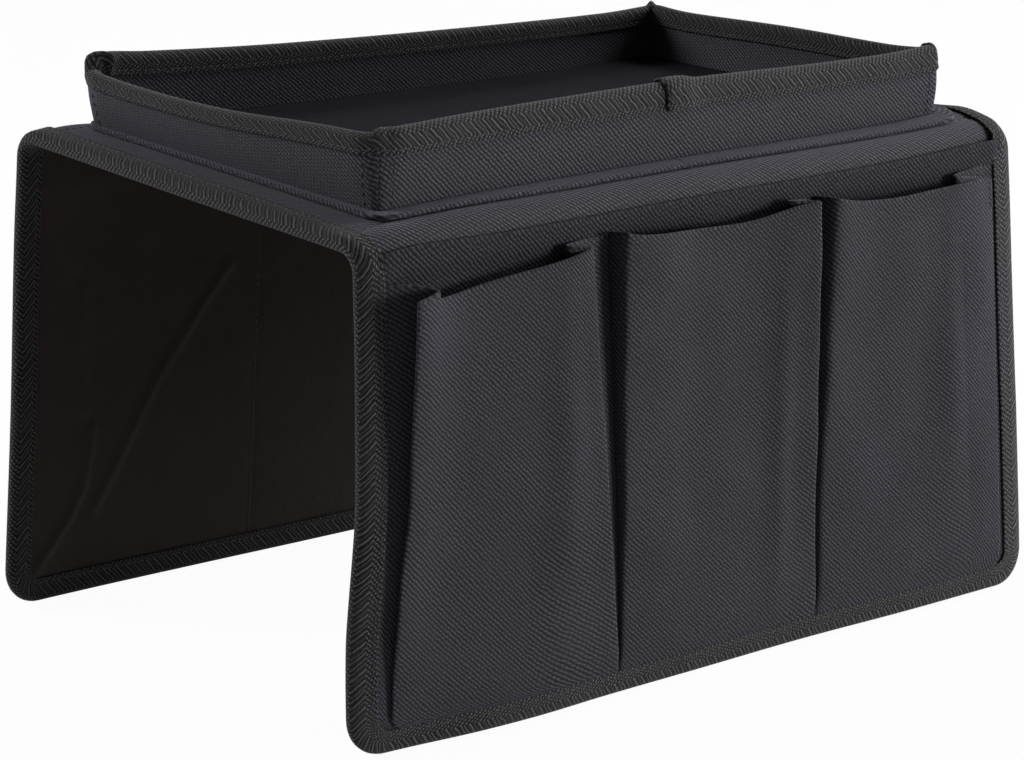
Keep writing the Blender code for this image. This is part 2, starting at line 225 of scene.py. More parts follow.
@dataclass
class Grid:
    """A grid of points on the middle of a cloth, with the cloth's own flat coordinates in metres."""

    points: np.ndarray
    cloth: np.ndarray

    def normals(self, ring: bool = False) -> np.ndarray:
        """The unit normals, where the last row may join the first one as a ring."""
        rows = self.points
        down = np.roll(rows, -1, 0) - np.roll(rows, 1, 0) if ring else np.gradient(rows, axis=0)
        return unit(np.cross(np.gradient(rows, axis=1), down))


def mesh_object(name: str, vertices: np.ndarray, faces: np.ndarray, uv: np.ndarray) -> bpy.types.Object:
    """An object from arrays, shaded smooth, with the cloth coordinates as its UV map.

    Args:
        name: The piece's name.
        vertices: Points.
        faces: Faces of four points each.
        uv: A cloth coordinate for each point.

    Returns:
        The new object.
    """
    mesh = bpy.data.meshes.new(name)
    mesh.vertices.add(len(vertices))
    mesh.vertices.foreach_set("co", vertices.astype(np.float32).ravel())
    mesh.loops.add(faces.size)
    mesh.loops.foreach_set("vertex_index", faces.astype(np.int32).ravel())
    mesh.polygons.add(len(faces))
    mesh.polygons.foreach_set("loop_start", np.arange(0, faces.size, 4, dtype=np.int32))
    mesh.update(calc_edges=True)
    layer = mesh.uv_layers.new(name="Cloth")
    layer.data.foreach_set("uv", uv[faces.ravel()].astype(np.float32).ravel())
    mesh.shade_smooth()
    mesh.validate()
    piece = bpy.data.objects.new(name, mesh)
    bpy.context.scene.collection.objects.link(piece)
    return piece


def cloth_object(name: str, grid: Grid, thickness: float, ring: bool = False) -> bpy.types.Object:
    """A cloth of one thickness with softly rounded edges.

    Args:
        name: The piece's name.
        grid: The cloth's middle surface.
        thickness: The cloth's thickness.
        ring: Whether the last row joins the first one.

    Returns:
        The new object.
    """
    middle, cloth = grid.points.reshape(-1, 3), grid.cloth.reshape(-1, 2)
    half = grid.normals(ring).reshape(-1, 3) * thickness / 2
    count = len(middle)
    number = np.arange(count).reshape(grid.points.shape[:2])
    here, after = (number, np.roll(number, -1, 0)) if ring else (number[:-1], number[1:])
    a, b, c, d = here[:, :-1], here[:, 1:], after[:, 1:], after[:, :-1]
    faces = [np.stack([a, b, c, d], -1).reshape(-1, 4), np.stack([a, d, c, b], -1).reshape(-1, 4) + count]
    if ring:
        edges = [number[::-1, 0], number[:, -1]]
    else:
        edges = [np.concatenate([number[0, :-1], number[:-1, -1], number[-1, :0:-1], number[:0:-1, 0]])]
    vertices, uv = [middle + half, middle - half], [cloth, cloth]
    for edge in edges:
        points = middle[edge]
        outward = unit(np.cross(np.roll(points, -1, 0) - np.roll(points, 1, 0), half[edge]))
        rim = sum(map(len, vertices)) + np.arange(len(edge))
        next_edge, next_rim = np.roll(edge, -1), np.roll(rim, -1)
        vertices.append(points + outward * thickness * 0.42)
        uv.append(cloth[edge])
        faces.append(np.stack([edge, rim, next_rim, next_edge], -1))
        faces.append(np.stack([rim, edge + count, next_edge + count, next_rim], -1))
    return mesh_object(name, np.concatenate(vertices), np.concatenate(faces), np.concatenate(uv))


def flat_length(points: np.ndarray) -> np.ndarray:
    """Distances along a polyline from its first point, for cloth coordinates."""
    return np.concatenate([[0.0], np.cumsum(np.linalg.norm(np.diff(points, axis=0), axis=-1))])


def strip(run: np.ndarray, rows: list, across: np.ndarray) -> Grid:
    """A long strip of cloth as a grid.

    Args:
        run: The length run at each place along it.
        rows: The points of each row, from one edge to the other.
        across: Each row's distance from the first edge.

    Returns:
        The strip's middle surface.
    """
    return Grid(np.stack(rows, 1), pairs(run[:, None], across))


def stitches_object(name: str, rows: list, gap: float, pitch: float) -> bpy.types.Object:
    """Rows of sewn stitches, each a small thread that dips into the cloth at both ends.

    Args:
        name: The piece's name.
        rows: Pairs of points on the cloth and points right above them.
        gap: The space between two stitches.
        pitch: From one stitch to the next.

    Returns:
        The new object.
    """
    shares = np.array([0.0, 0.2, 0.5, 0.8, 1.0])
    swell = np.array([0.35, 0.9, 1.0, 0.9, 0.35])[:, None] / 2
    lift = np.array([-0.55, 0.05, 0.22, 0.05, -0.55])[:, None]
    turn = 2 * math.pi * np.arange(THREAD_SIDES) / THREAD_SIDES
    across, outwards = (swell * np.cos(turn))[..., None], (lift + swell * np.sin(turn))[..., None]
    quads = np.array([(5, 4, 1, 0), (4, 3, 2, 1)])
    vertices, faces, base = [], [], 0
    for points, above in rows:
        run = flat_length(points)
        count = max(int(run[-1] / pitch), 1)
        apart = run[-1] / count
        at = (np.arange(count) * apart + gap / 2)[:, None] + shares * (apart - gap)
        centre, normal = (
            np.stack([np.interp(at, run, column) for column in known.T], -1) for known in (points, above - points)
        )
        normal = unit(normal)
        side = unit(np.cross(centre[:, -1:] - centre[:, :1], normal))
        thread = centre[:, :, None] + THREAD * (normal[:, :, None] * outwards + side[:, :, None] * across)
        number = np.arange(thread[..., 0].size).reshape(thread.shape[:3]) + base
        a, b = number[:, :-1], number[:, 1:]
        faces.append(np.stack([a, np.roll(a, -1, 2), np.roll(b, -1, 2), b], -1).reshape(-1, 4))
        faces += [number[:, end][:, quad[::order]] for end, order in ((0, 1), (-1, -1)) for quad in quads]
        vertices.append(thread.reshape(-1, 3))
        base += number.size
    points = np.concatenate(vertices)
    return mesh_object(name, points, np.concatenate(faces), np.zeros((len(points), 2)))


# Finishes


def colour(red: float, green: float, blue: float) -> tuple[float, float, float, float]:
    """A colour with full alpha."""
    return (red, green, blue, 1.0)


WHITE = colour(1.0, 1.0, 1.0)


class NodeBench:
    """A short way to lay out the nodes of a material or a world."""

    def __init__(self, owner: bpy.types.ID) -> None:
        """Start with no nodes.

        Args:
            owner: The material or world that they are for.
        """
        owner.use_nodes = True
        self.tree = owner.node_tree
        self.tree.nodes.clear()

    def add(self, kind: str, values: dict | None = None, **settings: object) -> bpy.types.Node:
        """A node with its settings, and its inputs set or linked.

        Args:
            kind: The node's type name.
            values: Values or sockets for its inputs, by name or number.
            **settings: Attributes of the node.

        Returns:
            The new node.
        """
        node = self.tree.nodes.new(f"ShaderNode{kind}")
        for key, value in settings.items():
            setattr(node, key, value)
        for key, value in (values or {}).items():
            if isinstance(value, bpy.types.NodeSocket):
                self.tree.links.new(value, node.inputs[key])
            else:
                node.inputs[key].default_value = value
        return node

    def math(self, operation: str, *terms: object, clamp: bool = False) -> bpy.types.NodeSocket:
        """The result of a Math node on numbers or sockets."""
        return self.add("Math", dict(enumerate(terms)), operation=operation, use_clamp=clamp).outputs[0]

    def vector(self, operation: str, values: dict) -> bpy.types.NodeSocket:
        """The result of a Vector Math node."""
        return self.add("VectorMath", values, operation=operation).outputs[0]

    def wave(self, value: object, length: float = 1.0) -> bpy.types.NodeSocket:
        """A sine wave of a length, along a value."""
        return self.math("SINE", self.math("MULTIPLY", value, 2 * math.pi / length))

    def blend(self, share: object, first: object, second: object, kind: str = "MIX") -> bpy.types.NodeSocket:
        """A mix of two colours, or their sockets, with a share of the second one."""
        values = {0: share, 6: first, 7: second}
        return self.add("Mix", values, data_type="RGBA", blend_type=kind).outputs[2]

    def noise(self, place: object, scale: float, detail: float, roughness: float = 0.5) -> bpy.types.Node:
        """A Noise texture at a place."""
        return self.add("TexNoise", {"Vector": place, "Scale": scale, "Detail": detail, "Roughness": roughness})

    def cloth(self) -> bpy.types.NodeSocket:
        """The cloth's own flat coordinates."""
        return self.add("UVMap", uv_map="Cloth").outputs[0]

    def seen(self) -> bpy.types.NodeSocket:
        """What the camera sees, by itself, in gloss and through glass.

        Returns:
            A socket that is 1 for it, else 0.
        """
        path = self.add("LightPath").outputs
        seen = self.math("MAXIMUM", path["Is Camera Ray"], path["Is Glossy Ray"])
        return self.math("MAXIMUM", seen, path["Is Transmission Ray"])

    def surface(self, base: object, rough: object, relief: tuple, gloss: dict) -> None:
        """Join the finish's colour, roughness and relief in its shader.

        Args:
            base: The colour's socket.
            rough: The roughness's socket.
            relief: The bump's strength, its depth and its height's socket.
            gloss: Values of the shader's other sockets, by name.
        """
        raised = self.add("Bump", dict(zip(("Strength", "Distance", "Height"), relief))).outputs[0]
        shader = self.add("BsdfPrincipled", {"Base Color": base, "Roughness": rough, "Normal": raised, **gloss})
        self.add("OutputMaterial", {0: shader.outputs[0]})


@dataclass(frozen=True)
class Finish:
    """A finish with a name."""

    name: str

    def make(self) -> bpy.types.Material:
        """Make the finish's material.

        Returns:
            The new material with its nodes.
        """
        material = bpy.data.materials.new(self.name)
        self.lay_out(NodeBench(material))
        return material


@dataclass(frozen=True)
class Weave(Finish):
    """A woven finish: colours for the ribs' tops and for the gaps between them, the rib's pitch and how deep it
    looks.
    """

    ridge: tuple
    valley: tuple
    dash: float
    depth: float
    roughness: float
    specular: float
    sheen: float
    sheen_tint: tuple
    pitch: float = 0.0014
    lean: float = 1.12
    chevron: float = 0.0
    mottle: float = 0.16
    broken: float = 0.24

    def lay_out(self, bench: NodeBench) -> None:
        """Lay out leaning ribs, broken into strokes, with fibres and a cloudy tone.

        Args:
            bench: The material's nodes.
        """
        uv = bench.cloth()
        wander = bench.noise(uv, 260.0, 3.0, 0.6).outputs[1]
        shift = bench.vector("SUBTRACT", {0: wander, 1: (0.5, 0.5, 0.5)})
        bent = bench.vector("ADD", {0: uv, 1: bench.vector("SCALE", {0: shift, "Scale": 0.0014})})
        u, v = bench.add("SeparateXYZ", {0: bent}).outputs[:2]
        leaning = bench.math("MULTIPLY", v, self.lean)
        fold = bench.math("PINGPONG", v, self.chevron) if self.chevron else leaning
        phase = bench.math("DIVIDE", bench.math("ADD", u, fold), self.pitch * math.hypot(1.0, self.lean))
        rib = bench.math("MULTIPLY_ADD", bench.wave(phase), 0.5, 0.5)
        cross = bench.math("DIVIDE", bench.math("SUBTRACT", u, leaning), self.dash * math.sqrt(2.0))
        stroke = bench.math("ADD", cross, bench.math("MULTIPLY", bench.math("FLOOR", phase), 0.5))
        stroke = bench.math("MULTIPLY_ADD", bench.wave(stroke), self.broken, 1.0 - self.broken)
        height = bench.math("MULTIPLY", rib, stroke)
        fibre = bench.noise(bent, 2600.0, 2.0).outputs[0]
        cloud = bench.noise(uv, 22.0, 4.0, 0.55).outputs[0]
        shade = bench.math("MULTIPLY_ADD", cloud, 2 * self.mottle, 1.0 - self.mottle)
        tone = bench.math("MULTIPLY", shade, bench.math("MULTIPLY_ADD", fibre, 1.3, 0.35))
        clear = bench.math("MULTIPLY_ADD", bench.noise(uv, 60.0, 2.0).outputs[0], 1.3, 0.35)
        strong = bench.math("MULTIPLY_ADD", bench.math("SUBTRACT", height, 0.38), clear, 0.38, clamp=True)
        yarn = bench.blend(strong, colour(*self.valley), colour(*self.ridge))
        grey = bench.add("CombineColor", {0: tone, 1: tone, 2: tone}).outputs[0]
        bench.surface(
            bench.blend(1.0, yarn, grey, "MULTIPLY"),
            bench.math("MULTIPLY_ADD", height, -0.08, self.roughness),
            (0.6, self.depth, bench.math("MULTIPLY_ADD", fibre, 0.60, height)),
            {
                "Specular IOR Level": self.specular,
                "Sheen Weight": self.sheen,
                "Sheen Roughness": 0.45,
                "Sheen Tint": colour(*self.sheen_tint),
            },
        )


@dataclass(frozen=True)
class TwoTone(Finish):
    """A finish that varies between two tones."""

    light: tuple
    dark: tuple

    def tone(self, bench: NodeBench, share: object) -> bpy.types.NodeSocket:
        """The colour with a share of the light tone."""
        return bench.blend(share, colour(*self.dark), colour(*self.light))


@dataclass(frozen=True)
class PlainCloth(TwoTone):
    """A smooth lining finish with faint threads and a soft sheen."""

    roughness: float
    specular: float
    sheen: float
    thread: float = 0.0006

    def lay_out(self, bench: NodeBench) -> None:
        """Lay out threads both ways, crushed a little, with a cloudy tone.

        Args:
            bench: The material's nodes.
        """
        uv = bench.cloth()
        u, v = bench.add("SeparateXYZ", {0: uv}).outputs[:2]
        threads = bench.math("MULTIPLY", bench.wave(u, self.thread), bench.wave(v, self.thread))
        cloud = bench.noise(uv, 30.0, 5.0, 0.6).outputs[0]
        fine = bench.noise(uv, 900.0, 2.0).outputs[0]
        crush = bench.noise(uv, 160.0, 4.0, 0.6).outputs[0]
        share = bench.math("MULTIPLY_ADD", fine, 0.35, bench.math("MULTIPLY", cloud, 0.8), clamp=True)
        bench.surface(
            self.tone(bench, share),
            bench.math("MULTIPLY_ADD", cloud, 0.15, self.roughness),
            (0.5, 0.0004, bench.math("MULTIPLY_ADD", crush, 2.5, bench.math("MULTIPLY", threads, 0.12))),
            {
                "Specular IOR Level": self.specular,
                "Sheen Weight": self.sheen,
                "Sheen Roughness": 0.4,
                "Sheen Tint": colour(0.9, 0.8, 0.75),
            },
        )


@dataclass(frozen=True)
class Thread(TwoTone):
    """Sewing thread with its twist."""

    def lay_out(self, bench: NodeBench) -> None:
        """Lay out the twist, by the object's own coordinates.

        Args:
            bench: The material's nodes.
        """
        twist = bench.noise(bench.add("TexCoord").outputs[3], 2200.0, 2.0).outputs[0]
        rough = bench.math("MULTIPLY_ADD", twist, 0.2, 0.5)
        bench.surface(self.tone(bench, twist), rough, (0.4, 0.0001, twist), {"Specular IOR Level": 0.35})


@dataclass(frozen=True)
class GreyBoard(TwoTone):
    """Pressed board with its fibres."""

    def lay_out(self, bench: NodeBench) -> None:
        """Lay out the fibres.

        Args:
            bench: The material's nodes.
        """
        fibre = bench.noise(bench.cloth(), 420.0, 6.0, 0.7).outputs[0]
        rough = bench.math("MULTIPLY_ADD", fibre, 0.1, 0.82)
        bench.surface(self.tone(bench, fibre), rough, (0.3, 0.0002, fibre), {"Specular IOR Level": 0.3})


# Painted light: the cover twill is painted about a third lighter than the pocket twill of the same cloth. This
# stands in for the stronger light on the tray walls, the top's margin and its fold; the charcoal tone itself is
# the cloth's own.
COVER_FINISH_PAINTED_LIGHTER = Weave(
    name="charcoal_twill",
    ridge=(0.090, 0.087, 0.099),
    valley=(0.012, 0.012, 0.015),
    dash=0.0020,
    depth=0.00024,
    roughness=0.80,
    specular=0.06,
    sheen=0.12,
    sheen_tint=(0.80, 0.80, 1.0),
)
POCKET_FINISH = replace(
    COVER_FINISH_PAINTED_LIGHTER,
    name="charcoal_twill_pocket",
    ridge=(0.068, 0.065, 0.075),
    valley=(0.016, 0.016, 0.019),
    depth=0.00021,
    roughness=0.82,
    specular=0.04,
    sheen=0.05,
)
# Painted shade: the backing twill is painted darker than the pocket twill of the same cloth, standing in for the
# shade on the band above the pocket mouths.
SHADED_BACKING_FINISH = replace(
    POCKET_FINISH, name="charcoal_twill_backing", ridge=(0.056, 0.054, 0.063), valley=(0.008, 0.008, 0.010)
)
# Painted shade: the tray floor's twill is painted darker than the cover, with no gloss or sheen, standing in for
# the shade that the walls cast inside the tray.
SHADED_TRAY_FLOOR_FINISH = replace(
    COVER_FINISH_PAINTED_LIGHTER,
    name="charcoal_twill_floor_painted_shade",
    ridge=(0.050, 0.048, 0.057),
    valley=(0.008, 0.008, 0.010),
    specular=0.0,
    sheen=0.0,
)
# Painted light: the tape's ridge and valley colours lie far apart. Its bright dashes are partly painted highlight
# on the yarns, and its near-black gaps are partly painted shade between them; the herringbone itself is the tape's
# own pattern.
TAPE_FINISH_WITH_PAINTED_GLINTS = Weave(
    name="herringbone_tape",
    ridge=(0.096, 0.092, 0.095),
    valley=(0.007, 0.007, 0.008),
    dash=0.0013,
    depth=0.00032,
    roughness=0.80,
    specular=0.06,
    sheen=0.10,
    sheen_tint=(0.90, 0.90, 0.92),
    lean=1.0,
    chevron=0.0045,
    broken=0.40,
)
LINING_FINISH = PlainCloth(
    name="brown_black_lining",
    light=(0.047, 0.036, 0.036),
    dark=(0.022, 0.017, 0.017),
    roughness=0.50,
    specular=0.05,
    sheen=0.03,
)
THREAD_FINISH = Thread(name="black_thread", light=(0.030, 0.029, 0.032), dark=(0.008, 0.008, 0.009))
BOARD_FINISH = GreyBoard(name="grey_board", light=(0.30, 0.27, 0.24), dark=(0.17, 0.15, 0.13))
SLOT_FINISHES = {
    Slot.COVER: COVER_FINISH_PAINTED_LIGHTER,
    Slot.POCKET: POCKET_FINISH,
    Slot.LINING: LINING_FINISH,
    Slot.TAPE: TAPE_FINISH_WITH_PAINTED_GLINTS,
    Slot.BOARD: BOARD_FINISH,
}


@dataclass(frozen=True)
class Hold:
    """The body that a piece rides on, or the two that it bends between, and where it starts and ends bending."""

    bodies: tuple
    bend: tuple = ()


ON_TOP = Hold((Body.TOP,))


@dataclass
class Workbench:
    """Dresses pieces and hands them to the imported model."""

    made: dict = field(default_factory=dict)

    def material(self, finish: Finish) -> bpy.types.Material:
        """The finish's material, made once.

        Args:
            finish: The finish.

        Returns:
            Its material.
        """
        if finish.name not in self.made:
            self.made[finish.name] = finish.make()
        return self.made[finish.name]

    def hand_over(
        self,
        piece: bpy.types.Object,
        slot: Slot,
        hold: Hold,
        stands_for: tuple = (),
        finish: Finish | None = None,
    ) -> bpy.types.Object:
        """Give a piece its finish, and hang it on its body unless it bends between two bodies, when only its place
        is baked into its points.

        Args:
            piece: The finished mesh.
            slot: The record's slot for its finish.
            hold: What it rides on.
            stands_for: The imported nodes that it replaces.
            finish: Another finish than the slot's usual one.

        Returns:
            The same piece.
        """
        piece.data.materials.append(self.material(finish or SLOT_FINISHES[slot]))
        bodies = [body.value for body in hold.bodies]
        if hold.bend:
            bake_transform(piece)
        else:
            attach(piece, bodies[0])
        if stands_for:
            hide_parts(*stands_for)
        LOG.info("%s: %d faces on %s", piece.name, len(piece.data.polygons), " to ".join(bodies))
        return piece

    def sew(
        self, name: str, rows: list, slot: Slot, hold: Hold, gap: float = STITCH_GAP, pitch: float = STITCH
    ) -> None:
        """Make rows of stitches and hand them over, as stitches_object and hand_over say."""
        self.hand_over(stitches_object(name, rows, gap, pitch), slot, hold, (), THREAD_FINISH)


BENCH = Workbench()


# The soft top and its flaps


def top_rise(x: Values, y: Values) -> np.ndarray:
    """How far the soft top stands above its true height.

    Args:
        x: Places along the armrest.
        y: Places across it, from the middle line.

    Returns:
        The rise at each place.
    """
    level = through(x, TOP_PLACES, TOP_LEVELS) + through(x, TOP_PLACES, TOP_TILTS) * y
    dip = SHOULDER_DIP * smooth(x, -0.130, -0.050) * smooth(np.abs(y), 0.070, FOLD_OFFSET)
    return level - dip + SHOULDER_RISE * smooth(x, 0.110, 0.155) * bump(np.abs(y), 0.077, 0.013)


def ridge(x: np.ndarray, s: np.ndarray, path: tuple, reach: float) -> np.ndarray:
    """A soft ridge of height 1 along a chain of points.

    Args:
        x: Places across.
        s: Places along.
        path: The chain's points.
        reach: How far the ridge falls to about a third.

    Returns:
        The ridge's height at each place.
    """
    nearest = np.full(np.broadcast(x, s).shape, math.inf)
    for (x0, s0), (x1, s1) in zip(path[:-1], path[1:]):
        step_x, step_s = x1 - x0, s1 - s0
        share = np.clip(((x - x0) * step_x + (s - s0) * step_s) / (step_x**2 + step_s**2), 0.0, 1.0)
        nearest = np.minimum(nearest, np.hypot(x - x0 - share * step_x, s - s0 - share * step_s))
    return bump(nearest, 0.0, reach)


def rounded(chain: np.ndarray) -> np.ndarray:
    """A chain with its corners cut twice.

    Args:
        chain: Rows of points.

    Returns:
        The rounder chain, with its ends kept.
    """
    for _ in range(2):
        first, second = chain[:-1], chain[1:]
        cut = np.stack([0.75 * first + 0.25 * second, 0.25 * first + 0.75 * second], 1)
        chain = np.concatenate([chain[:1], cut.reshape(-1, chain.shape[1])[1:-1], chain[-1:]])
    return chain


def refined(chain: np.ndarray, width: float, longest: float = 0.0026) -> np.ndarray:
    """A pocket's chain with its long steps divided.

    Args:
        chain: Rows of a share of the width, a shift and a depth first.
        width: The pocket's width.
        longest: The longest step that is left whole.

    Returns:
        The finer chain.
    """
    steps = flat_length(np.stack([chain[:, 0] * width + chain[:, 1], chain[:, 2]], -1))
    counts = np.maximum(np.ceil(np.diff(steps) / longest), 1).astype(int)
    at = np.concatenate([index + np.arange(count) / count for index, count in enumerate(counts)])
    at = np.append(at, len(chain) - 1)
    return np.stack([np.interp(at, np.arange(len(chain)), column) for column in chain.T], -1)


def hemmed(grid: Grid, outward: int, thickness: float, rows: int = 5) -> Grid:
    """A cloth with its first rows turned over to its back as a hem.

    Args:
        grid: The cloth, its first row along the folded edge.
        outward: 1 if its grid's normals face outwards, else -1.
        thickness: The cloth's thickness.
        rows: How many rows the hem is deep.

    Returns:
        The cloth with its hem.
    """
    points, cloth = grid.points, grid.cloth
    out = grid.normals() * outward
    apart = thickness + LAYER_GAP / 2
    up = unit(points[0] - points[1])
    middle = points[0] - out[0] * apart / 2
    turn = np.linspace(math.pi, 0.0, 6)[:-1]
    fold = [middle + (out[0] * math.cos(a) + up * math.sin(a)) * apart / 2 for a in turn]
    back = points[1:rows][::-1] - out[1:rows][::-1] * apart
    flipped = cloth[1:rows][::-1].copy()
    flipped[..., 1] = 2 * cloth[0, :, 1] - flipped[..., 1]
    around = np.repeat(cloth[:1], len(turn), 0)
    return Grid(np.concatenate([back, fold, points]), np.concatenate([flipped, around, cloth]))


def edge_inset(stack: float) -> float:
    """How far the square edge of a stack of layers stays inside the tape's round fold."""
    radius = stack / 2 + LAYER_GAP
    return TAPE + radius - math.sqrt(radius**2 - (stack / 2) ** 2) + LAYER_GAP


def tape_profile(stack: float) -> np.ndarray:
    """The middle of a folded tape across its width.

    Args:
        stack: The thickness of the layers that it is folded over.

    Returns:
        Rows of inset from the outer edge and offset through the stack, then the outward direction in the same
        terms, from the half at the larger offset to the other one.
    """
    radius = stack / 2 + LAYER_GAP + TAPE / 2
    limb = np.linspace(TAPE_WIDTH, TAPE / 2 + radius, 10)[:-1]
    dent = 0.0003 * bump(limb, TAPE_WIDTH - TAPE_SEAM, 0.0008)
    level, side = np.zeros_like(limb), np.ones_like(limb)
    outer = np.stack([limb, stack / 2 + radius - dent, level, side], -1)
    inner = np.stack([limb, stack / 2 - radius + dent, level, -side], -1)[::-1]
    angles = np.linspace(math.pi / 2, 3 * math.pi / 2, 9)
    cos, sin = np.cos(angles), np.sin(angles)
    fold = np.stack([TAPE / 2 + radius + radius * cos, stack / 2 + radius * sin, cos, sin], -1)
    return np.concatenate([outer, fold, inner])


@dataclass(frozen=True)
class Side:
    """One half of the organizer, from the middle of the top over the fold to the foot of its flap.

    A place on it is (across, along, offset): X, the length from the fold line, which is negative on the top, and
    the distance outwards from the lining's inner face. A pocket's chain has a row for each turn of its cloth:
    the share of the width that it is measured from, then in millimetres its shift from there, its depth before
    the backing and its drop at the mouth, and its shift and depth at the foot. At the right edge, right_wide is
    how much wider the tape's outer half is.
    """

    name: str
    body: Body
    facing: int
    splay: float
    drop: float
    edge_places: tuple
    left_edge: tuple
    right_edge: tuple
    bow: tuple
    pockets: tuple
    creases: tuple
    seed: int
    right_wide: float = 0.0
    columns: int = 140
    rows_top: int = 34
    rows_bend: int = 12
    rows_flap: int = 84

    @property
    def on_flap(self) -> Hold:
        """The hold of a piece on the flap."""
        return Hold((self.body,))

    @property
    def over_fold(self) -> Hold:
        """The hold of a piece that crosses the fold."""
        ends = [tuple(self.place(0.0, along, 0.0)) for along in (-BEND_REACH, BEND_REACH)]
        return Hold((Body.TOP, self.body), tuple(ends))

    @property
    def corner(self) -> float:
        """Where the flap's rounded corners start, as a length from the fold line."""
        return self.drop - FLAP_CORNER

    def give(self, across: np.ndarray, along: np.ndarray) -> tuple:
        """How far the soft panel has moved from its true place.

        Args:
            across: X of each place.
            along: Length from the fold line.

        Returns:
            How far it has moved outwards and upwards.
        """
        down = np.clip(along / self.drop, 0.0, 1.0)
        up = top_rise(across, self.facing * (FOLD_OFFSET + np.minimum(along, 0.0))) * (1.0 - down)
        waves = Ripples(self.seed, 0.16, 0.0006).at(across, along)
        return through(across, FLAP_PLACES, self.bow) * down + waves * smooth(down, 0.02, 0.20), up

    def place(self, across: Values, along: Values, offset: Values, plate: Values = 0.0) -> np.ndarray:
        """The points of places on this half.

        Args:
            across: X of each place.
            along: Length from the fold line, negative on the top.
            offset: Distance outwards from the lining's inner face.
            plate: How far the fold's cloth stays flat in line with the flap, from 0 to 1.

        Returns:
            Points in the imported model's frame.
        """
        across, along, offset, plate = spread(across, along, offset, plate)
        inner = BEND_REACH * math.tan((math.pi / 2 + self.splay) / 2)
        share = np.clip((along + BEND_REACH) / (2 * BEND_REACH), 0.0, 1.0)
        turned = math.pi / 2 + (math.pi / 2 - self.splay) * share
        out = -(BEND_REACH + (inner + offset) * np.cos(turned))
        rise = (inner + offset) * np.sin(turned) - inner
        flat = np.where(along > BEND_REACH, 1.0, plate)
        out = out + (along * math.sin(self.splay) + offset * math.cos(self.splay) - out) * flat
        rise = rise + (offset * math.sin(self.splay) - along * math.cos(self.splay) - rise) * flat
        on_top = along < -BEND_REACH
        more_out, more_up = self.give(across, along)
        y = MIDDLE + self.facing * (FOLD_OFFSET + np.where(on_top, along, out) + more_out)
        return np.stack([across, y, FOLD_HEIGHT + np.where(on_top, offset, rise) + more_up], -1)

    def cloth(self, across: np.ndarray, along: np.ndarray) -> np.ndarray:
        """Flat cloth coordinates, which run on from one half to the other."""
        return pairs(across, self.facing * (FOLD_OFFSET + along))

    def edge(self, along: Values, inset: float, left: bool) -> np.ndarray:
        """X of the panel's free edge, with the flap's rounded corner.

        Args:
            along: Length from the fold line.
            inset: Distance in from the tape's outer edge.
            left: Whether it is the edge at -X.

        Returns:
            X at each place.
        """
        extra = through(along, self.edge_places, self.left_edge if left else self.right_edge)
        corner = FLAP_CORNER - inset
        past = np.clip(along - self.corner, 0.0, corner)
        half = HALF_LENGTH + extra - inset - (corner - np.sqrt(np.maximum(corner**2 - past**2, 0.0)))
        return -half if left else half

    def lengths(self, start: float, end: float) -> np.ndarray:
        """Places along this half, closer together in the fold and at the foot.

        Args:
            start: The first place, as a length from the fold line.
            end: The last place.

        Returns:
            The lengths from start to end.
        """
        join = [-FOLD_OFFSET, -FOLD_OFFSET + LAYER_GAP / 2]
        top = np.linspace(-FOLD_OFFSET + BEND_REACH / 4, -BEND_REACH, self.rows_top)
        bend = np.linspace(-BEND_REACH, BEND_REACH, self.rows_bend)
        flap = np.linspace(BEND_REACH, self.corner, self.rows_flap)
        depth = end - self.corner if end > self.corner else FLAP_CORNER
        foot = self.corner + depth * np.sin(np.linspace(0.0, math.pi / 2, 9))
        known = np.concatenate([join, top, bend[1:], flap[1:], foot[1:]])
        inside = known[(known > start + 1e-5) & (known < end - 1e-5)]
        return np.concatenate([[start], inside, [end]])

    def layer(
        self, start: float, end: float, inset: float, offset: float, relief: Callable | None = None
    ) -> Grid:
        """A layer of the panel as a grid.

        Args:
            start: Where it starts, as a length from the fold line.
            end: Where it ends.
            inset: Distance in from the tape's outer edge at both sides.
            offset: The middle of the layer, outwards from the lining's inner face.
            relief: Gives more offset at places across and along, if there is any.

        Returns:
            The layer's middle surface.
        """
        along = self.lengths(start, end)[:, None]
        left, right = self.edge(along, inset, True), self.edge(along, inset, False)
        across, along = spread(left + (right - left) * np.linspace(0.0, 1.0, self.columns), along)
        more = relief(across, along) if relief else 0.0
        return Grid(self.place(across, along, offset + more), self.cloth(across, along))


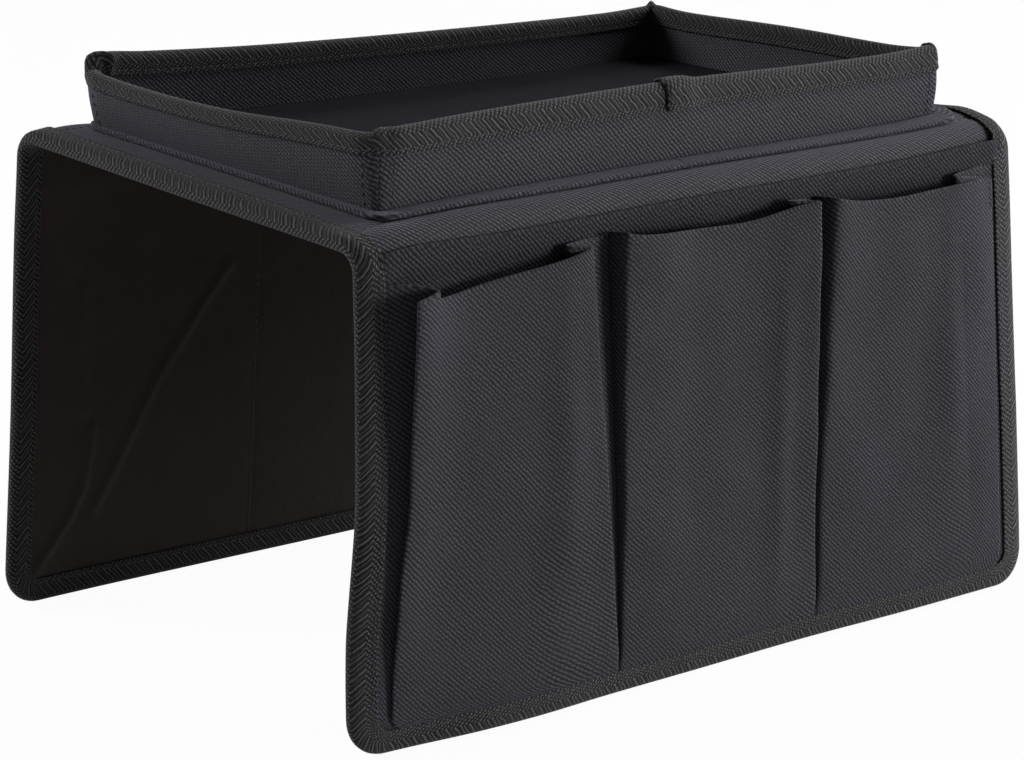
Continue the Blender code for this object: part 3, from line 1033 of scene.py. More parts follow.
@dataclass
class Panels:
    """The covers, linings, boards and bindings of one half."""

    side: Side

    def build(self) -> None:
        """Build every layer of this half."""
        inset = edge_inset(PANEL)
        fine = replace(self.side, columns=230, rows_flap=120)
        self.build_cloth(self.side, Slot.COVER, COVER_BASE, COVER_CLOTH, inset)
        self.build_cloth(fine, Slot.LINING, 0.0, LINING_CLOTH, inset + LAYER_GAP)
        self.build_board()
        self.build_binding()
        self.build_seams()

    def foot(self, inset: float) -> float:
        """The length from the fold line to an inset from the foot."""
        return self.side.drop - inset

    def cover_relief(self, across: np.ndarray, along: np.ndarray) -> np.ndarray:
        """The groove under the margin's stitches."""
        return -0.0005 * bump(along, MARGIN_SEAM, 0.0013) + 0 * across

    def lining_relief(self, across: np.ndarray, along: np.ndarray) -> np.ndarray:
        """The lining's creases, which stand off inwards, and its grooves at the pockets' seams.

        Args:
            across: X of each place.
            along: Length from the fold line.

        Returns:
            The offset that they add, outwards.
        """
        on_flap = smooth(along, 0.008, 0.020)
        seams = 0.0002 * (bump(across, -DIVIDER, 0.0016) + bump(across, DIVIDER, 0.0016)) * on_flap
        folds = sum(height * ridge(across, along, path, reach) for path, height, reach in self.side.creases)
        crumple = Ripples(self.side.seed + 5, 0.035, 0.00018, waves=14).at(across, along) * on_flap
        return seams - folds - np.maximum(crumple, 0.0)

    def build_cloth(self, side: Side, slot: Slot, base: float, thickness: float, inset: float) -> None:
        """The cover or the lining, unbroken from the top's middle line over the fold to the foot.

        Args:
            side: This half, with as many columns and rows as the cloth needs.
            slot: Which of the two it is.
            base: The offset of its inner face.
            thickness: Its thickness.
            inset: Its edge's distance in from the tape's outer edge.
        """
        kind, relief = ("cover", self.cover_relief) if slot is Slot.COVER else ("lining", self.lining_relief)
        grid = side.layer(-FOLD_OFFSET, self.foot(inset), inset, base + thickness / 2, relief)
        piece = cloth_object(f"{side.name}_{kind}", grid, thickness)
        nodes = (f"top_{kind}", f"{side.name}_bend_{kind}", f"{side.name}_flap_{kind}")
        BENCH.hand_over(piece, slot, side.over_fold, nodes)

    def build_board(self) -> None:
        """The flap's board, hidden between the cloths."""
        side = self.side
        grid = side.layer(BEND_REACH + LAYER_GAP, self.foot(TAPE_WIDTH), TAPE_WIDTH, BOARD_BASE + BOARD / 2)
        piece = cloth_object(f"{side.name}_board", grid, BOARD)
        BENCH.hand_over(piece, Slot.BOARD, side.on_flap, (f"{side.name}_flap_board",))

    def free_edge(self) -> tuple:
        """The tape's path round the free edge.

        Returns:
            Places (across, along) on the tape's outer edge, unit directions inwards, and the length run.
        """
        side = self.side
        straight = side.lengths(-FOLD_OFFSET, side.corner)
        left = pairs(side.edge(straight, 0.0, True), straight)
        right = pairs(side.edge(straight, 0.0, False), straight)[::-1]
        turn = np.linspace(0.0, math.pi / 2, 12)[1:]
        inwards, down = FLAP_CORNER * (1 - np.cos(turn)), side.corner + FLAP_CORNER * np.sin(turn)
        left_turn = pairs(left[-1, 0] + inwards, down)
        right_turn = pairs(right[0, 0] - inwards, down)[::-1]
        foot = pairs(np.linspace(left_turn[-1, 0], right_turn[0, 0], 120)[1:-1], side.drop)
        path = np.concatenate([left, left_turn, foot, right_turn, right])
        step = unit(np.gradient(path, axis=0))
        return path, np.stack([step[:, 1], -step[:, 0]], -1), flat_length(path)

    def lift(self, inset: Values, along: np.ndarray) -> np.ndarray:
        """How far the tape's outer half rises over the backing and the pockets on the flap."""
        backing = (COVER_CLOTH + LAYER_GAP) * smooth(inset, 0.0010, 0.0052) * smooth(along, -0.0025, 0.0025)
        return backing + (POCKET_CLOTH + LAYER_GAP) * smooth(inset, 0.0050, 0.0084) * smooth(along, 0.004, 0.012)

    def along_edge(self, inset: float, offset: float, outer: bool) -> np.ndarray:
        """Points beside the free edge.

        Args:
            inset: Their distance in from the tape's outer edge.
            offset: Their offset, before what the tape rises.
            outer: Whether they are on the outer half of the tape.

        Returns:
            A point for each place on the free edge.
        """
        path, inward, _ = self.free_edge()
        wide = self.side.right_wide / TAPE_WIDTH if outer else 0.0
        grown = wide * smooth(path[:, 0], 0.152, 0.164) * smooth(path[:, 1], -0.002, 0.010)
        at = path + inward * inset * (1 + grown)[:, None]
        more = self.lift(inset, at[:, 1]) if outer else 0.0
        return self.side.place(at[:, 0], at[:, 1], offset + more)

    def build_binding(self) -> None:
        """The tape folded over the free edge, with its stitches on both faces."""
        side = self.side
        profile = tape_profile(PANEL)
        run = self.free_edge()[2]
        rows = [self.along_edge(inset, offset, offset > PANEL) for inset, offset, _, _ in profile]
        across = flat_length(profile[:, :2])
        piece = cloth_object(f"{side.name}_binding", strip(-side.facing * run, rows, across), TAPE)
        nodes = [f"{side.name}_{part}_tape" for part in ("flap", "bend_left", "bend_right")]
        BENCH.hand_over(piece, Slot.TAPE, side.over_fold, (*nodes, "top_left_tape", "top_right_tape"))
        seam = TAPE_WIDTH - TAPE_SEAM
        rows = []
        for offset, sign in ((PANEL + TAPE_PROUD, 1.0), (-TAPE_PROUD, -1.0)):
            heights = (offset, offset + sign * MILLIMETRE)
            rows.append([self.along_edge(seam, height, sign > 0) for height in heights])
        BENCH.sew(f"{side.name}_binding_stitches", rows, Slot.TAPE, side.over_fold, TAPE_STITCH_GAP)

    def build_seams(self) -> None:
        """The stitches along the top's margin and along the pockets' seams."""
        side = self.side
        across = np.linspace(-HALF_LENGTH + TAPE_WIDTH, HALF_LENGTH - TAPE_WIDTH, 90)
        margin = [side.place(across, MARGIN_SEAM, PANEL + height) for height in (-0.00045, MILLIMETRE)]
        BENCH.sew(f"{side.name}_margin_stitches", [margin], Slot.COVER, ON_TOP, pitch=MARGIN_STITCH)
        down = np.linspace(0.014, self.foot(TAPE_WIDTH), 60)
        rows = []
        for x in (-DIVIDER, DIVIDER):
            for low, high in ((0.0001, -MILLIMETRE), (POCKET_BASE + POCKET_CLOTH, MILLIMETRE)):
                rows.append([side.place(x, down, low), side.place(x, down, low + high)])
        BENCH.sew(f"{side.name}_pocket_stitches", rows, Slot.POCKET, side.on_flap)


@dataclass
class Pockets:
    """The backing and the three pleated pockets of one flap."""

    side: Side
    top_shares: tuple = (0, 0.085, 0.17, 0.31, 0.70, 0.88, 1.0)
    backing_tops: tuple = (0.0036, 0.0044, 0.0052, 0.0047, 0.0044, 0.0037, 0.0024)
    hem: float = 0.012
    straight_left: float = 0.30
    straight_right: float = 0.95

    def build(self) -> None:
        """Build the backing and the pockets."""
        self.build_backing()
        for number, name in enumerate(("left_pocket", "middle_pocket", "right_pocket")):
            self.build_pocket(number, f"{self.side.name}_{name}")

    def build_backing(self) -> None:
        """The cloth layer that the pockets are sewn on, with the hem along its top edge."""
        side = self.side
        foot = side.drop - BACKING_INSET
        start = max(self.backing_tops)
        extra = np.linspace(start, self.hem * 1.4, 9)
        along = side.lengths(start, foot)
        along = np.concatenate([extra, along[along > extra[-1] + MILLIMETRE / 2]])[:, None]
        left, right = side.edge(along, BACKING_INSET, True), side.edge(along, BACKING_INSET, False)
        share = np.linspace(0.0, 1.0, side.columns)[None, :]
        across = left + (right - left) * share
        top = through(share, self.top_shares, self.backing_tops)
        along = along - (start - top) * (1 - smooth(along, start, 3 * self.hem))
        inside = smooth(HALF_LENGTH - np.abs(across), BACKING_INSET, 2 * BACKING_INSET)
        proud = 1.4 * (COVER_CLOTH + LAYER_GAP) * inside * (1 - smooth(along, 0.8 * self.hem, 1.3 * self.hem))
        plate = self.straight_left + (self.straight_right - self.straight_left) * share
        points = side.place(across, along, BACKING_BASE + COVER_CLOTH / 2 + proud, plate)
        grid = hemmed(Grid(points, side.cloth(across, along)), side.facing, COVER_CLOTH)
        piece = cloth_object(f"{side.name}_backing", grid, COVER_CLOTH)
        # The backing's finish carries painted shade: it is darker than the pocket twill, for the shade above the
        # pocket mouths.
        BENCH.hand_over(piece, Slot.COVER, side.on_flap, (f"{side.name}_pocket_backing",), SHADED_BACKING_FINISH)

    def build_pocket(self, number: int, node: str) -> None:
        """One pleated pocket, its mouth hemmed and its foot held by the binding.

        Args:
            number: Its place from the left, as X rises.
            node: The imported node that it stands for.
        """
        side = self.side
        chain = np.array(side.pockets[number], float)
        chain[:, 1:] *= MILLIMETRE
        chain = refined(rounded(chain), 2 * DIVIDER)
        share, shift, depth, top, foot_shift, foot_depth = (column[None, :] for column in chain.T)
        foot = side.drop - POCKET_INSET
        reach = foot - top.mean()
        first = np.array([0.0, 0.0015, 0.004, 0.007, 0.010]) / reach
        down = np.concatenate([first, np.linspace(0.085, 1.0, 70)])[:, None]
        along = top + (foot - top) * down
        last = side.edge(along, POCKET_INSET + side.right_wide, False)
        edges = [side.edge(along, POCKET_INSET, True), -DIVIDER, DIVIDER, last]
        left, right = edges[number] + 0 * along, edges[number + 1] + 0 * along
        across = left + (right - left) * share + shift + (foot_shift - shift) * down
        hang = foot_depth + (depth - foot_depth) * (1 - down) ** 1.1
        hang = hang * (1 - 0.6 * smooth(along, foot - 0.008, foot))
        hang = hang + 0.0016 * np.sin(math.pi * np.clip(share, 0.0, 1.0)) * np.sin(math.pi * down)
        waves = Ripples(side.seed + 11 + number, 0.045, 0.0004).at(across, along)
        hang = hang + waves * smooth(hang, 0.001, 0.004)
        points = side.place(across, along, POCKET_BASE + POCKET_CLOTH / 2 + hang)
        unrolled = flat_length(points[len(points) // 3])
        cloth = pairs(unrolled, side.cloth(across, along)[..., 1])
        grid = hemmed(Grid(points, cloth), side.facing, POCKET_CLOTH)
        piece = cloth_object(f"{node}_cloth", grid, POCKET_CLOTH)
        BENCH.hand_over(piece, Slot.POCKET, side.on_flap, (node,))


LEFT_CHAIN = (
    (0, 0, 0, 13, 0, 0),
    (0, 9.9, 3.8, 14.8, 6, 0.2),
    (0, 15.6, 8.4, 16.8, 9, 0.4),
    (0, 16.2, 10, 17.4, 9.3, 1),
    (0, 10, 11.6, 18, 8, 1.2),
    (0, 4.4, 12.5, 18, 6.3, 1.3),
    (0, 4.2, 13.6, 18.1, 6.2, 2),
    (0, 11, 12.6, 19.4, 12, 2.1),
    (0, 20, 9.2, 20.6, 20, 2),
    (0, 28.5, 7.4, 20.6, 28.5, 1.8),
    (0, 38.5, 7.2, 19.4, 38.5, 1.8),
    (0, 55, 7.4, 18, 55, 1.8),
    (0, 70, 8, 16.6, 70, 1.8),
    (1, -23, 8.8, 14.8, -16, 1.9),
    (1, -15.2, 8.3, 13, -1.8, 2),
    (1, -15.4, 7.2, 12.8, -1.7, 1.3),
    (1, -23.5, 4.4, 12, -4.8, 1),
    (1, -23.5, 3.3, 11.6, -5, 0.4),
    (1, -10, 1.2, 11.3, -2.5, 0.2),
    (1, 0, 0, 11.3, 0, 0),
)
MIDDLE_CHAIN = (
    (0, 0, 0, 10.4, 0, 0),
    (0, -0.6, 5, 10, 0, 0.5),
    (0, -0.6, 9.9, 9.5, 0.2, 1.1),
    (0, 0.8, 10.8, 10.4, 1, 1.5),
    (0, 9, 11.2, 11.9, 9, 1.7),
    (0, 30, 8.6, 13.4, 30, 1.8),
    (0, 41.7, 7.8, 14, 41.7, 1.8),
    (0, 62, 7.4, 15, 62, 1.8),
    (0, 76.4, 8, 13.2, 76.4, 1.8),
    (1, -18.6, 10.4, 11.4, -18.6, 1.8),
    (1, -8.6, 12.6, 10.8, -1.8, 1.8),
    (1, -7.8, 11.6, 10.5, -1.5, 1.2),
    (1, -17.8, 7, 10, -4.8, 1),
    (1, -18.4, 5.4, 9.8, -5, 0.4),
    (1, -8, 1.8, 11.2, -2.5, 0.2),
    (1, 0, 0, 11.8, 0, 0),
)
RIGHT_CHAIN = (
    (0, 0, 0, 11, 0, 0),
    (0, 1, 4.5, 10.8, 0.5, 0.5),
    (0, 1.8, 9.3, 10.9, 0.8, 1.1),
    (0, 4, 10.8, 11.5, 2, 1.5),
    (0, 18.5, 8.4, 14.4, 18.5, 1.8),
    (0, 39.5, 7.4, 15.8, 39.5, 1.8),
    (0, 63, 6.8, 15.3, 63, 1.8),
    (1, -28.9, 7.2, 15, -22, 1.8),
    (1, -25, 7, 15.2, -19, 1.8),
    (1, -14, 5.6, 15.2, -12, 1.8),
    (1, -4.2, 2.4, 16.2, -4, 1.6),
    (1, -3.8, 1.8, 16.2, -3.8, 1.1),
    (1, -16, 3.2, 13.8, -9, 0.9),
    (1, -26, 4.4, 12.4, -12, 0.8),
    (1, -26.6, 3.2, 12.2, -12, 0.4),
    (1, -12, 1.2, 11.4, -6, 0.2),
    (1, 0, 0, 10.9, 0, 0),
)
PLAIN_HALF = (
    (0, 0, 0, 9.5, 0, 0),
    (0, 7, 2.4, 9.8, 4, 0.2),
    (0, 13.4, 5.2, 10.4, 8, 0.4),
    (0, 13.8, 6.6, 10.8, 8.2, 1),
    (0, 4.2, 9.4, 11.4, 3.6, 1.3),
    (0, 4, 10.6, 11.6, 3.5, 2),
    (0, 20, 11.4, 12.2, 20, 1.9),
    (0, 38, 11.8, 12.8, 38, 1.8),
)
PLAIN_CHAIN = PLAIN_HALF + tuple(
    (1, -shift, depth, drop, -foot_shift, foot_depth)
    for _, shift, depth, drop, foot_shift, foot_depth in PLAIN_HALF[::-1]
)
FRONT = Side(
    name="front",
    body=Body.FRONT,
    facing=-1,
    splay=math.radians(3.8),
    drop=0.176999,
    edge_places=(-0.0915, 0.0, 0.060, 0.092, 0.106, 0.120, 0.1345, 0.149, 0.177),
    left_edge=(0.0, -0.0005, 0.0003, 0.0014, 0.0030, 0.0048, 0.0064, 0.0070, 0.0070),
    right_edge=(0.0, 0.0006, 0.0030, 0.0046, 0.0054, 0.0060, 0.0066, 0.0072, 0.0078),
    bow=(0.0008, 0.0020, 0.0049, 0.0062, 0.0055, 0.0048, 0.0033, 0.0038, 0.0048),
    pockets=(LEFT_CHAIN, MIDDLE_CHAIN, RIGHT_CHAIN),
    creases=(),
    seed=31,
    right_wide=0.0040,
)
REAR = Side(
    name="rear",
    body=Body.REAR,
    facing=1,
    splay=math.radians(1.3),
    drop=0.176584,
    edge_places=(-0.0915, 0.0, 0.060, 0.177),
    left_edge=(0.0, 0.0, 0.0006, 0.0020),
    right_edge=(0.0, 0.0, 0.0006, 0.0020),
    bow=(0.0, 0.0004, 0.0008, 0.0010, 0.0012, 0.0012, 0.0010, 0.0006, 0.0),
    pockets=(PLAIN_CHAIN,) * 3,
    creases=(
        (
            ((-0.156, 0.166), (-0.1534, 0.1625), (-0.1399, 0.1464), (-0.1341, 0.1355), (-0.1299, 0.112)),
            0.0012,
            0.0016,
        ),
        (((-0.1560, 0.018), (-0.1542, 0.0212), (-0.1471, 0.0371), (-0.1400, 0.050)), 0.0008, 0.0030),
        (
            ((-0.1290, 0.146), (-0.1215, 0.1337), (-0.1002, 0.0976), (-0.0772, 0.0681), (-0.066, 0.055)),
            0.0008,
            0.0018,
        ),
        (((-0.1330, 0.104), (-0.1380, 0.080), (-0.1350, 0.060)), 0.0006, 0.0030),
    ),
    seed=57,
)


@dataclass
class Tray:
    """The walled tray on the top.

    A place round it is a share from 0 at the middle of the front wall towards +X to 1. Its bend is the same place
    counted in straights and corners: 1 to 2 is the front right corner, 3 to 4 the rear right one, and so on to 9.
    The lean, rise, narrow and brim fields are heights at given bends, for the methods that read them.
    """

    length: float = 0.283
    width: float = 0.156
    height: float = 0.030
    hem_width: float = 0.0062
    corner: float = 0.0034
    tightest: float = 0.0008
    rim_corners: tuple = (0.0034, 0.0034, 0.0100, 0.0110)
    belly: float = 0.0015
    skew: float = 0.0026
    lap_start: float = -0.0080
    lap: float = 0.0105
    lap_ease: float = 0.008
    corner_seam: float = 0.0052
    step: float = 0.0032
    end_step: float = 0.0003
    least_step: float = 0.0002
    lean: tuple = (
        (0, 1, 2, 2.5, 3, 4, 4.5, 5, 5.5, 6, 6.5, 6.85, 7, 7.5, 8, 9),
        (0.0, -0.0004, -0.0016, 0.0, 0.0, -0.0005, -0.0022, 0.0005, 0.0052, 0.0050, 0.0062, 0.0044, 0.0032, 0.0016,
         0.0004, 0.0),
    )
    rise: tuple = (
        (0, 0.88, 1.5, 2.10, 2.5, 2.90, 3.5, 4.06, 4.5, 4.9, 5.5, 6.15, 6.5, 6.85, 7.2, 8, 9),
        (0.0, -0.0020, -0.0010, -0.0038, -0.0040, -0.0054, -0.0036, -0.0054, -0.0036, -0.0018, -0.0022, -0.0084,
         -0.0070, -0.0028, -0.0008, -0.0004, 0.0),
    )
    narrow: tuple = ((0, 5, 6, 7, 8.06, 9), (1.0, 1.0, 0.80, 0.80, 1.0, 1.0))
    brim: tuple = ((0, 4.6, 5.2, 6.5, 7.2, 8, 9), (1.0, 1.0, 0.3, 0.4, 0.7, 1.0, 1.0))

    @property
    def surface(self) -> float:
        """The height of the top's outer cloth."""
        return FOLD_HEIGHT + PANEL

    @property
    def stack(self) -> float:
        """The thickness of a wall."""
        return 2 * COVER_CLOTH + 2 * LAYER_GAP + BOARD

    @property
    def seat(self) -> float:
        """The height of the walls' feet above the top."""
        return 2 * LAYER_GAP + COVER_CLOTH

    @property
    def feet(self) -> tuple:
        """The radii of the four corners at the walls' feet."""
        return (self.corner,) * 4

    @property
    def total(self) -> float:
        """The length round the walls."""
        return float(self.ends(self.feet)[-1])

    @property
    def corner_shares(self) -> list[float]:
        """The places of the four corner seams, from the front right one on."""
        ends = self.ends(self.feet)
        return [float((ends[n] + ends[n + 1]) / 2 / ends[-1]) for n in (1, 3, 5, 7)]

    def ends(self, radii: tuple) -> np.ndarray:
        """Where the straights and corners end, as lengths round the walls' feet.

        Args:
            radii: The four corners' radii, from the front right one on.

        Returns:
            Ten lengths, from 0 to the whole way round.
        """
        less = (1 - math.pi / 4) * self.corner
        seams = np.cumsum([self.length / 2, self.width, self.length, self.width]) - less * np.array([1, 3, 5, 7])
        half = np.array(radii) - less
        turns = np.stack([seams - half, seams + half], -1).ravel()
        return np.concatenate([[0.0], turns, [2 * (self.length + self.width) - 8 * less]])

    def bend_at(self, share: Values, radii: tuple) -> np.ndarray:
        """The places counted in straights and corners."""
        return np.interp((np.asarray(share, float) % 1.0) * self.total, self.ends(radii), np.arange(10.0))

    def read(self, share: Values, table: tuple) -> np.ndarray:
        """A table of bends and heights, read round the tray."""
        return through(self.bend_at(share, self.feet), *table)

    def outline(self, share: np.ndarray, inset: np.ndarray, radii: tuple) -> np.ndarray:
        """The outline at an inset, with corners that stay round.

        Args:
            share: Places round the tray.
            inset: Distance in from the walls' outer face.
            radii: The four corners' radii.

        Returns:
            X, Y from the middle, and the outward directions.
        """
        bend = self.bend_at(share, radii)
        whole = np.minimum(np.floor(bend), 8).astype(int)
        part = bend - whole
        turn = (np.floor(whole / 2) + np.where(whole % 2 == 1, part, 0.0) - 1) * math.pi / 2
        known = np.repeat(np.array([radii[0], *radii, radii[0]]), (1, 2, 2, 2, 2, 1))
        side_x = np.array((0, 1, 1, 1, 1, -1, -1, -1, -1, 0))
        side_y = np.array((-1, -1, -1, 1, 1, 1, 1, -1, -1, -1))
        x, y = 0.0, 0.0
        for at, weight in ((whole, 1.0 - part), (whole + 1, part)):
            radius = np.maximum(known[at] - inset, self.tightest)
            x = x + weight * (side_x[at] * (self.length / 2 - inset - radius) + radius * np.cos(turn))
            y = y + weight * (side_y[at] * (self.width / 2 - inset - radius) + radius * np.sin(turn))
        return np.stack(np.broadcast_arrays(x, y, np.cos(turn), np.sin(turn)))

    def stops(self, start: float, end: float) -> np.ndarray:
        """Places round the tray, a step apart and closer together in the corners.

        Args:
            start: The first place.
            end: The last place.

        Returns:
            The places from start to end.
        """
        total = self.total
        around = np.linspace(-1.0, 1.0, 37) * max(self.rim_corners) / total
        turns = [corner + turn + around for corner in self.corner_shares for turn in (-1, 0, 1)]
        known = np.sort(np.concatenate([np.arange(start, end, self.step / total), *turns]))
        known = known[(known > start + self.end_step / total) & (known < end - self.end_step / total)]
        apart = np.concatenate([[True], np.diff(known) > self.least_step / total])
        return np.concatenate([[start], known[apart], [end]])

    def skewed(self, x: np.ndarray, y: np.ndarray) -> np.ndarray:
        """X of places, moved where the tray's left end is askew."""
        return x - self.skew * (0.5 + y / self.width) * smooth(-x, 0.0, self.length / 2)

    def place(self, share: Values, inset: Values, height: Values) -> np.ndarray:
        """The points of places on the tray.

        Args:
            share: Places round the tray.
            inset: Distance in from the walls' outer face.
            height: Height above the top's cloth.

        Returns:
            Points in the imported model's frame.
        """
        share, inset, height = spread(share, inset, height)
        raised = np.clip((height - self.seat) / (self.height - self.seat), 0.0, 1.1)
        low = self.outline(share, inset, self.feet)
        x, y, cos, sin = low + (self.outline(share, inset, self.rim_corners) - low) * raised
        out = self.read(share, self.lean) * raised**1.3 + self.belly * np.sin(math.pi * np.minimum(raised, 1.0))
        x, y = self.skewed(x, y) + cos * out, y + sin * out
        up = self.read(share, self.rise) * raised + top_rise(x, y)
        return np.stack([x, MIDDLE + y, self.surface + height + up], -1)

    def build(self) -> None:
        """Build the whole tray."""
        self.build_base()
        self.build_floor()
        self.build_walls()
        self.build_rim()
        self.build_stitches()

    def disc(self, inset: float, height: float) -> Grid:
        """A flat layer inside the outline as a grid from side to side.

        Args:
            inset: Its edge's distance in from the walls' outer face.
            height: The height of its middle above the top's cloth.

        Returns:
            The layer's grid.
        """
        radius = max(self.corner - inset, self.tightest)
        half_x, half_y = self.length / 2 - inset, self.width / 2 - inset
        lower = -half_y + radius * (1 + np.sin(np.linspace(-math.pi / 2, 0.0, 7)))
        rows = np.concatenate([lower, np.linspace(lower[-1], -lower[-1], 60)[1:-1], -lower[::-1]])[:, None]
        past = np.clip(np.abs(rows) - (half_y - radius), 0.0, radius)
        reach = half_x - radius + np.sqrt(np.maximum(radius**2 - past**2, 0.0))
        x, y = spread(reach * np.linspace(-1.0, 1.0, 110), rows)
        x = self.skewed(x, y)
        return Grid(np.stack([x, MIDDLE + y, self.surface + height + top_rise(x, y)], -1), pairs(x, y))

    def build_base(self) -> None:
        """The bottom cloth and the folded hem round it, which shows as a flange at the walls' foot."""
        low = LAYER_GAP + COVER_CLOTH / 2
        apart = COVER_CLOTH + LAYER_GAP
        piece = cloth_object("tray_base", self.disc(0.0, low), COVER_CLOTH)
        BENCH.hand_over(piece, Slot.COVER, ON_TOP, ("tray_base_cloth",))
        turn = np.linspace(-math.pi / 2, math.pi / 2, 7)
        bead = self.hem_width - apart / 2
        profile = [(-self.hem_width / 4 - LAYER_GAP, low), (-bead + apart / 2, low)]
        profile += [(-bead - apart / 2 * math.cos(a), low + apart / 2 + apart / 2 * math.sin(a)) for a in turn]
        profile += [(-float(out), low + apart) for out in np.linspace(bead - apart / 4, LAYER_GAP, 6)]
        shares = self.stops(0.0, 1.0)[:-1]
        brim = self.read(shares, self.brim)
        across = flat_length(np.array(profile))
        rows = [self.place(shares, inset * brim, height) for inset, height in profile]
        hem = cloth_object("tray_flange", strip(shares * self.total, rows, across), COVER_CLOTH, ring=True)
        BENCH.hand_over(hem, Slot.COVER, ON_TOP, ("tray_base_cloth",))
        self.total

    def build_floor(self) -> None:
        """The floor's board and its cloth."""
        inset = self.stack + LAYER_GAP
        board = cloth_object("tray_floor_stiffener", self.disc(inset, self.seat + BOARD / 2), BOARD)
        BENCH.hand_over(board, Slot.BOARD, ON_TOP, ("tray_floor_board",))
        grid = self.disc(inset, self.seat + BOARD + LAYER_GAP + COVER_CLOTH / 2)
        grid.points[..., 2] += np.abs(Ripples(77, 0.09, 0.0004).at(grid.cloth[..., 0], grid.cloth[..., 1]))
        cloth = cloth_object("tray_floor", grid, COVER_CLOTH)
        # The floor cloth's finish carries painted shade, for the shelter of the walls.
        BENCH.hand_over(cloth, Slot.COVER, ON_TOP, ("tray_floor_cloth",), SHADED_TRAY_FLOOR_FINISH)

    def wall_profile(self) -> np.ndarray:
        """A wall's cloth as insets and heights, up the outside, over the board and down the inside.

        Returns:
            Rows of an inset and a height.
        """
        top = self.height - edge_inset(self.stack) - COVER_CLOTH / 2
        outer, inner = COVER_CLOTH / 2, self.stack - COVER_CLOTH / 2
        rises = np.linspace(self.seat, top, 15)
        turn = np.linspace(math.pi, 0.0, 7)[1:-1]
        middle, radius = (outer + inner) / 2, (inner - outer) / 2
        over = pairs(middle + radius * np.cos(turn), top + 0.4 * radius * np.sin(turn))
        return np.concatenate([pairs(outer, rises), over, pairs(inner, rises[::-1])])

    def build_walls(self) -> None:
        """The four walls, sewn together at the corners, with their boards."""
        profile = self.wall_profile()
        up = flat_length(profile)
        corners = self.corner_shares
        starts = (corners[3] - 1.0, *corners[:3])
        gap = LAYER_GAP / 4 / self.total
        for name, start, end in zip(("front", "right", "rear", "left"), starts, corners):
            shares = self.stops(start + gap, end - gap)
            rows = [self.place(shares, inset, height) for inset, height in profile]
            run = (shares - start) * self.total
            piece = cloth_object(f"tray_{name}_side", strip(run, rows, up), COVER_CLOTH)
            BENCH.hand_over(piece, Slot.COVER, ON_TOP, (f"tray_{name}_wall",))
            self.build_stiffener(name, start, end)

    def build_stiffener(self, name: str, start: float, end: float) -> None:
        """The board inside one wall.

        Args:
            name: The wall's name.
            start: Where the wall starts round the tray.
            end: Where it ends.
        """
        trim = self.corner * 1.6 / self.total
        shares = np.linspace(start + trim, end - trim, 60)
        top = self.height - edge_inset(self.stack) - COVER_CLOTH - 2 * LAYER_GAP
        heights = np.linspace(self.seat, top, 8)
        rows = [self.place(shares, self.stack / 2, height) for height in heights]
        piece = cloth_object(f"tray_{name}_board", strip((shares - start) * self.total, rows, heights), BOARD)
        BENCH.hand_over(piece, Slot.BOARD, ON_TOP, (f"tray_{name}_stiffener",))

    def lapped(self, run: np.ndarray) -> np.ndarray:
        """How far the rim tape stands off where it laps over its own end, by the length run from its start."""
        return (TAPE + 2 * LAYER_GAP) * (1 - smooth(run, self.lap, self.lap + self.lap_ease))

    def build_rim(self) -> None:
        """The tape folded over the top of the walls, its ends lapped on the front wall."""
        profile = tape_profile(self.stack)
        start = self.lap_start / self.total
        shares = self.stops(start, 1.0 + start + self.lap / self.total)
        run = (shares - start) * self.total
        off = self.lapped(run)
        rows = []
        for inset, offset, more_inset, more_offset in profile:
            down = inset * (self.read(shares, self.narrow) if offset < 0 else 1.0)
            rows.append(self.place(shares, offset + off * more_offset, self.height - down - off * more_inset))
        across = flat_length(profile[:, :2])
        piece = cloth_object("tray_rim", strip(run, rows, across), TAPE)
        BENCH.hand_over(piece, Slot.TAPE, ON_TOP, ("tray_rim_tape",))

    def build_stitches(self) -> None:
        """The stitches along the rim tape's two edges and beside the corner seams."""
        total = self.total
        closed = self.stops(0.0, 1.0)
        off = self.lapped((closed - self.lap_start / total) % 1.0 * total)
        rows = []
        for inset, sign in ((-TAPE_PROUD, -1.0), (self.stack + TAPE_PROUD, 1.0)):
            low = self.height - (TAPE_WIDTH - TAPE_SEAM) * (self.read(closed, self.narrow) if sign < 0 else 1.0)
            rows.append([self.place(closed, inset + sign * (off + more), low) for more in (0.0, MILLIMETRE)])
        BENCH.sew("tray_rim_stitches", rows, Slot.TAPE, ON_TOP, TAPE_STITCH_GAP)
        heights = np.linspace(self.seat + 0.0012, self.height - TAPE_WIDTH - 0.0006, 12)
        rows = []
        for corner in self.corner_shares:
            for side in (-self.corner_seam, self.corner_seam):
                rows.append([self.place(corner + side / total, inset, heights) for inset in (0.0, -MILLIMETRE)])
        BENCH.sew("tray_corner_stitches", rows, Slot.COVER, ON_TOP)


def build_top_board() -> None:
    """The top's board, hidden between the cover and the lining."""
    end, offset = -BEND_REACH - LAYER_GAP, BOARD_BASE + BOARD / 2
    front, rear = (side.layer(-FOLD_OFFSET, end, TAPE_WIDTH, offset) for side in (FRONT, REAR))
    points = np.concatenate([front.points[::-1], rear.points[1:]])
    cloth = np.concatenate([front.cloth[::-1], rear.cloth[1:]])
    piece = cloth_object("top_stiffener", Grid(points, cloth), BOARD)
    BENCH.hand_over(piece, Slot.BOARD, ON_TOP, ("top_board",))


# The studio


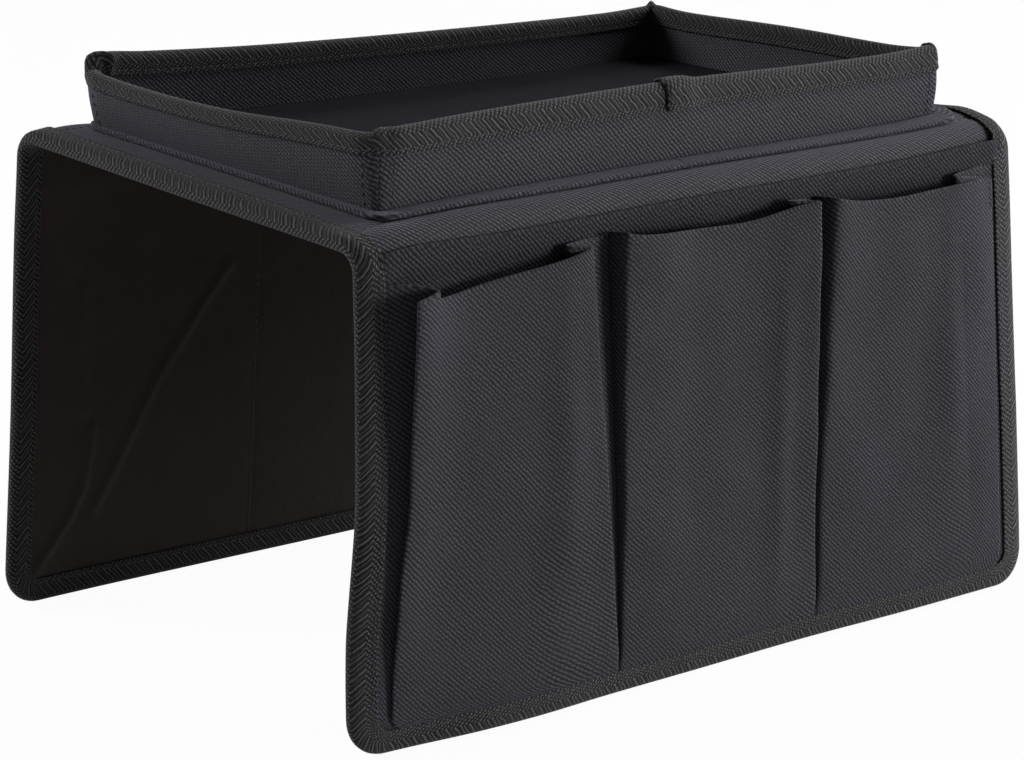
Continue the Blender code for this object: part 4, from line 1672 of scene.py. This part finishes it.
class Studio:
    """The floor, the lamps, the white surroundings and the camera."""

    def build(self) -> None:
        """Set everything up, with a low lamp, a high one over the top and a broad one at the back left."""
        self.build_floor()
        self.build_world()
        self.add_lamp("front_right", 30.0, 3.5, 0.6, 37.0)
        self.add_lamp("top_right", 80.0, 35.0, 1.1, 42.0)
        self.add_lamp("back_left", -135.0, 30.0, 0.9, 37.0)
        self.build_camera()

    def build_floor(self) -> None:
        """A plain pale floor that shows white to the camera and keeps the object's shadow."""
        corners = FLOOR_REACH * np.array([(-1, -1, 0), (1, -1, 0), (1, 1, 0), (-1, 1, 0)])
        floor = mesh_object("floor", corners, np.arange(4)[None], corners[:, :2])
        floor.location.z = -FLOOR_DROP
        material = bpy.data.materials.new("pale_floor")
        bench = NodeBench(material)
        share = bench.math("MULTIPLY", bench.seen(), FLOOR_GLOW)
        glow = bench.add("Emission", {"Color": WHITE, "Strength": 1.0}).outputs[0]
        matt = bench.add("BsdfDiffuse", {"Color": colour(FLOOR_GREY, FLOOR_GREY, FLOOR_GREY)}).outputs[0]
        mixed = bench.add("MixShader", {0: share, 1: matt, 2: glow})
        bench.add("OutputMaterial", {0: mixed.outputs[0]})
        floor.data.materials.append(material)

    def build_world(self) -> None:
        """Surroundings that look white and give a little even light."""
        world = bpy.data.worlds.new("white_room")
        bpy.context.scene.world = world
        bench = NodeBench(world)
        level = bench.add("MapRange", {"Value": bench.seen(), "To Min": ROOM_LIGHT, "To Max": 1.0}).outputs[0]
        back = bench.add("Background", {"Color": WHITE, "Strength": level})
        bench.add("OutputWorld", {0: back.outputs[0]})

    def add_lamp(self, name: str, azimuth: float, elevation: float, size: float, power: float) -> None:
        """A square soft lamp that faces the object.

        Args:
            name: Its name.
            azimuth: Its direction from the object in degrees, 0 at the front and 90 at +X.
            elevation: Its height over the horizon in degrees.
            size: Its side.
            power: Its power in watts.
        """
        turn, rise = math.radians(azimuth), math.radians(elevation)
        ray = Vector((math.sin(turn) * math.cos(rise), -math.cos(turn) * math.cos(rise), math.sin(rise)))
        data = bpy.data.lights.new(name, "AREA")
        data.shape = "SQUARE"
        data.size = size
        data.energy = power
        lamp = bpy.data.objects.new(name, data)
        lamp.location = LAMP_AIM + ray * LAMP_DISTANCE
        lamp.rotation_mode = "QUATERNION"
        lamp.rotation_quaternion = (-ray).to_track_quat("-Z", "Y")
        bpy.context.scene.collection.objects.link(lamp)

    def build_camera(self) -> None:
        """The camera at the photograph's place."""
        data = bpy.data.cameras.new("photo_camera")
        data.sensor_width = SENSOR
        data.lens = FOCAL_PIXELS / PHOTO_WIDTH * SENSOR
        data.clip_start = 0.05
        data.clip_end = 100.0
        camera = bpy.data.objects.new("photo_camera", data)
        reach = math.cos(EYE_PITCH)
        sight = Vector((math.sin(EYE_YAW) * reach, math.cos(EYE_YAW) * reach, math.sin(EYE_PITCH)))
        level = Vector((math.cos(EYE_YAW), -math.sin(EYE_YAW), 0.0))
        upright = level.cross(sight)
        right = math.cos(EYE_ROLL) * level + math.sin(EYE_ROLL) * upright
        up = -math.sin(EYE_ROLL) * level + math.cos(EYE_ROLL) * upright
        turned = Matrix((right, up, -sight)).transposed().to_4x4()
        turned.translation = EYE
        camera.matrix_world = turned
        bpy.context.scene.collection.objects.link(camera)
        bpy.context.scene.camera = camera


def main() -> None:
    """Build the organizer and its studio, in order."""
    logging.basicConfig(level=logging.INFO, format="%(message)s")
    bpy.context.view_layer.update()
    bpy.context.scene.view_settings.view_transform = "Standard"
    Studio().build()
    for side in (FRONT, REAR):
        Panels(side).build()
        Pockets(side).build()
    build_top_board()
    Tray().build()


if __name__ == "__main__":
    main()
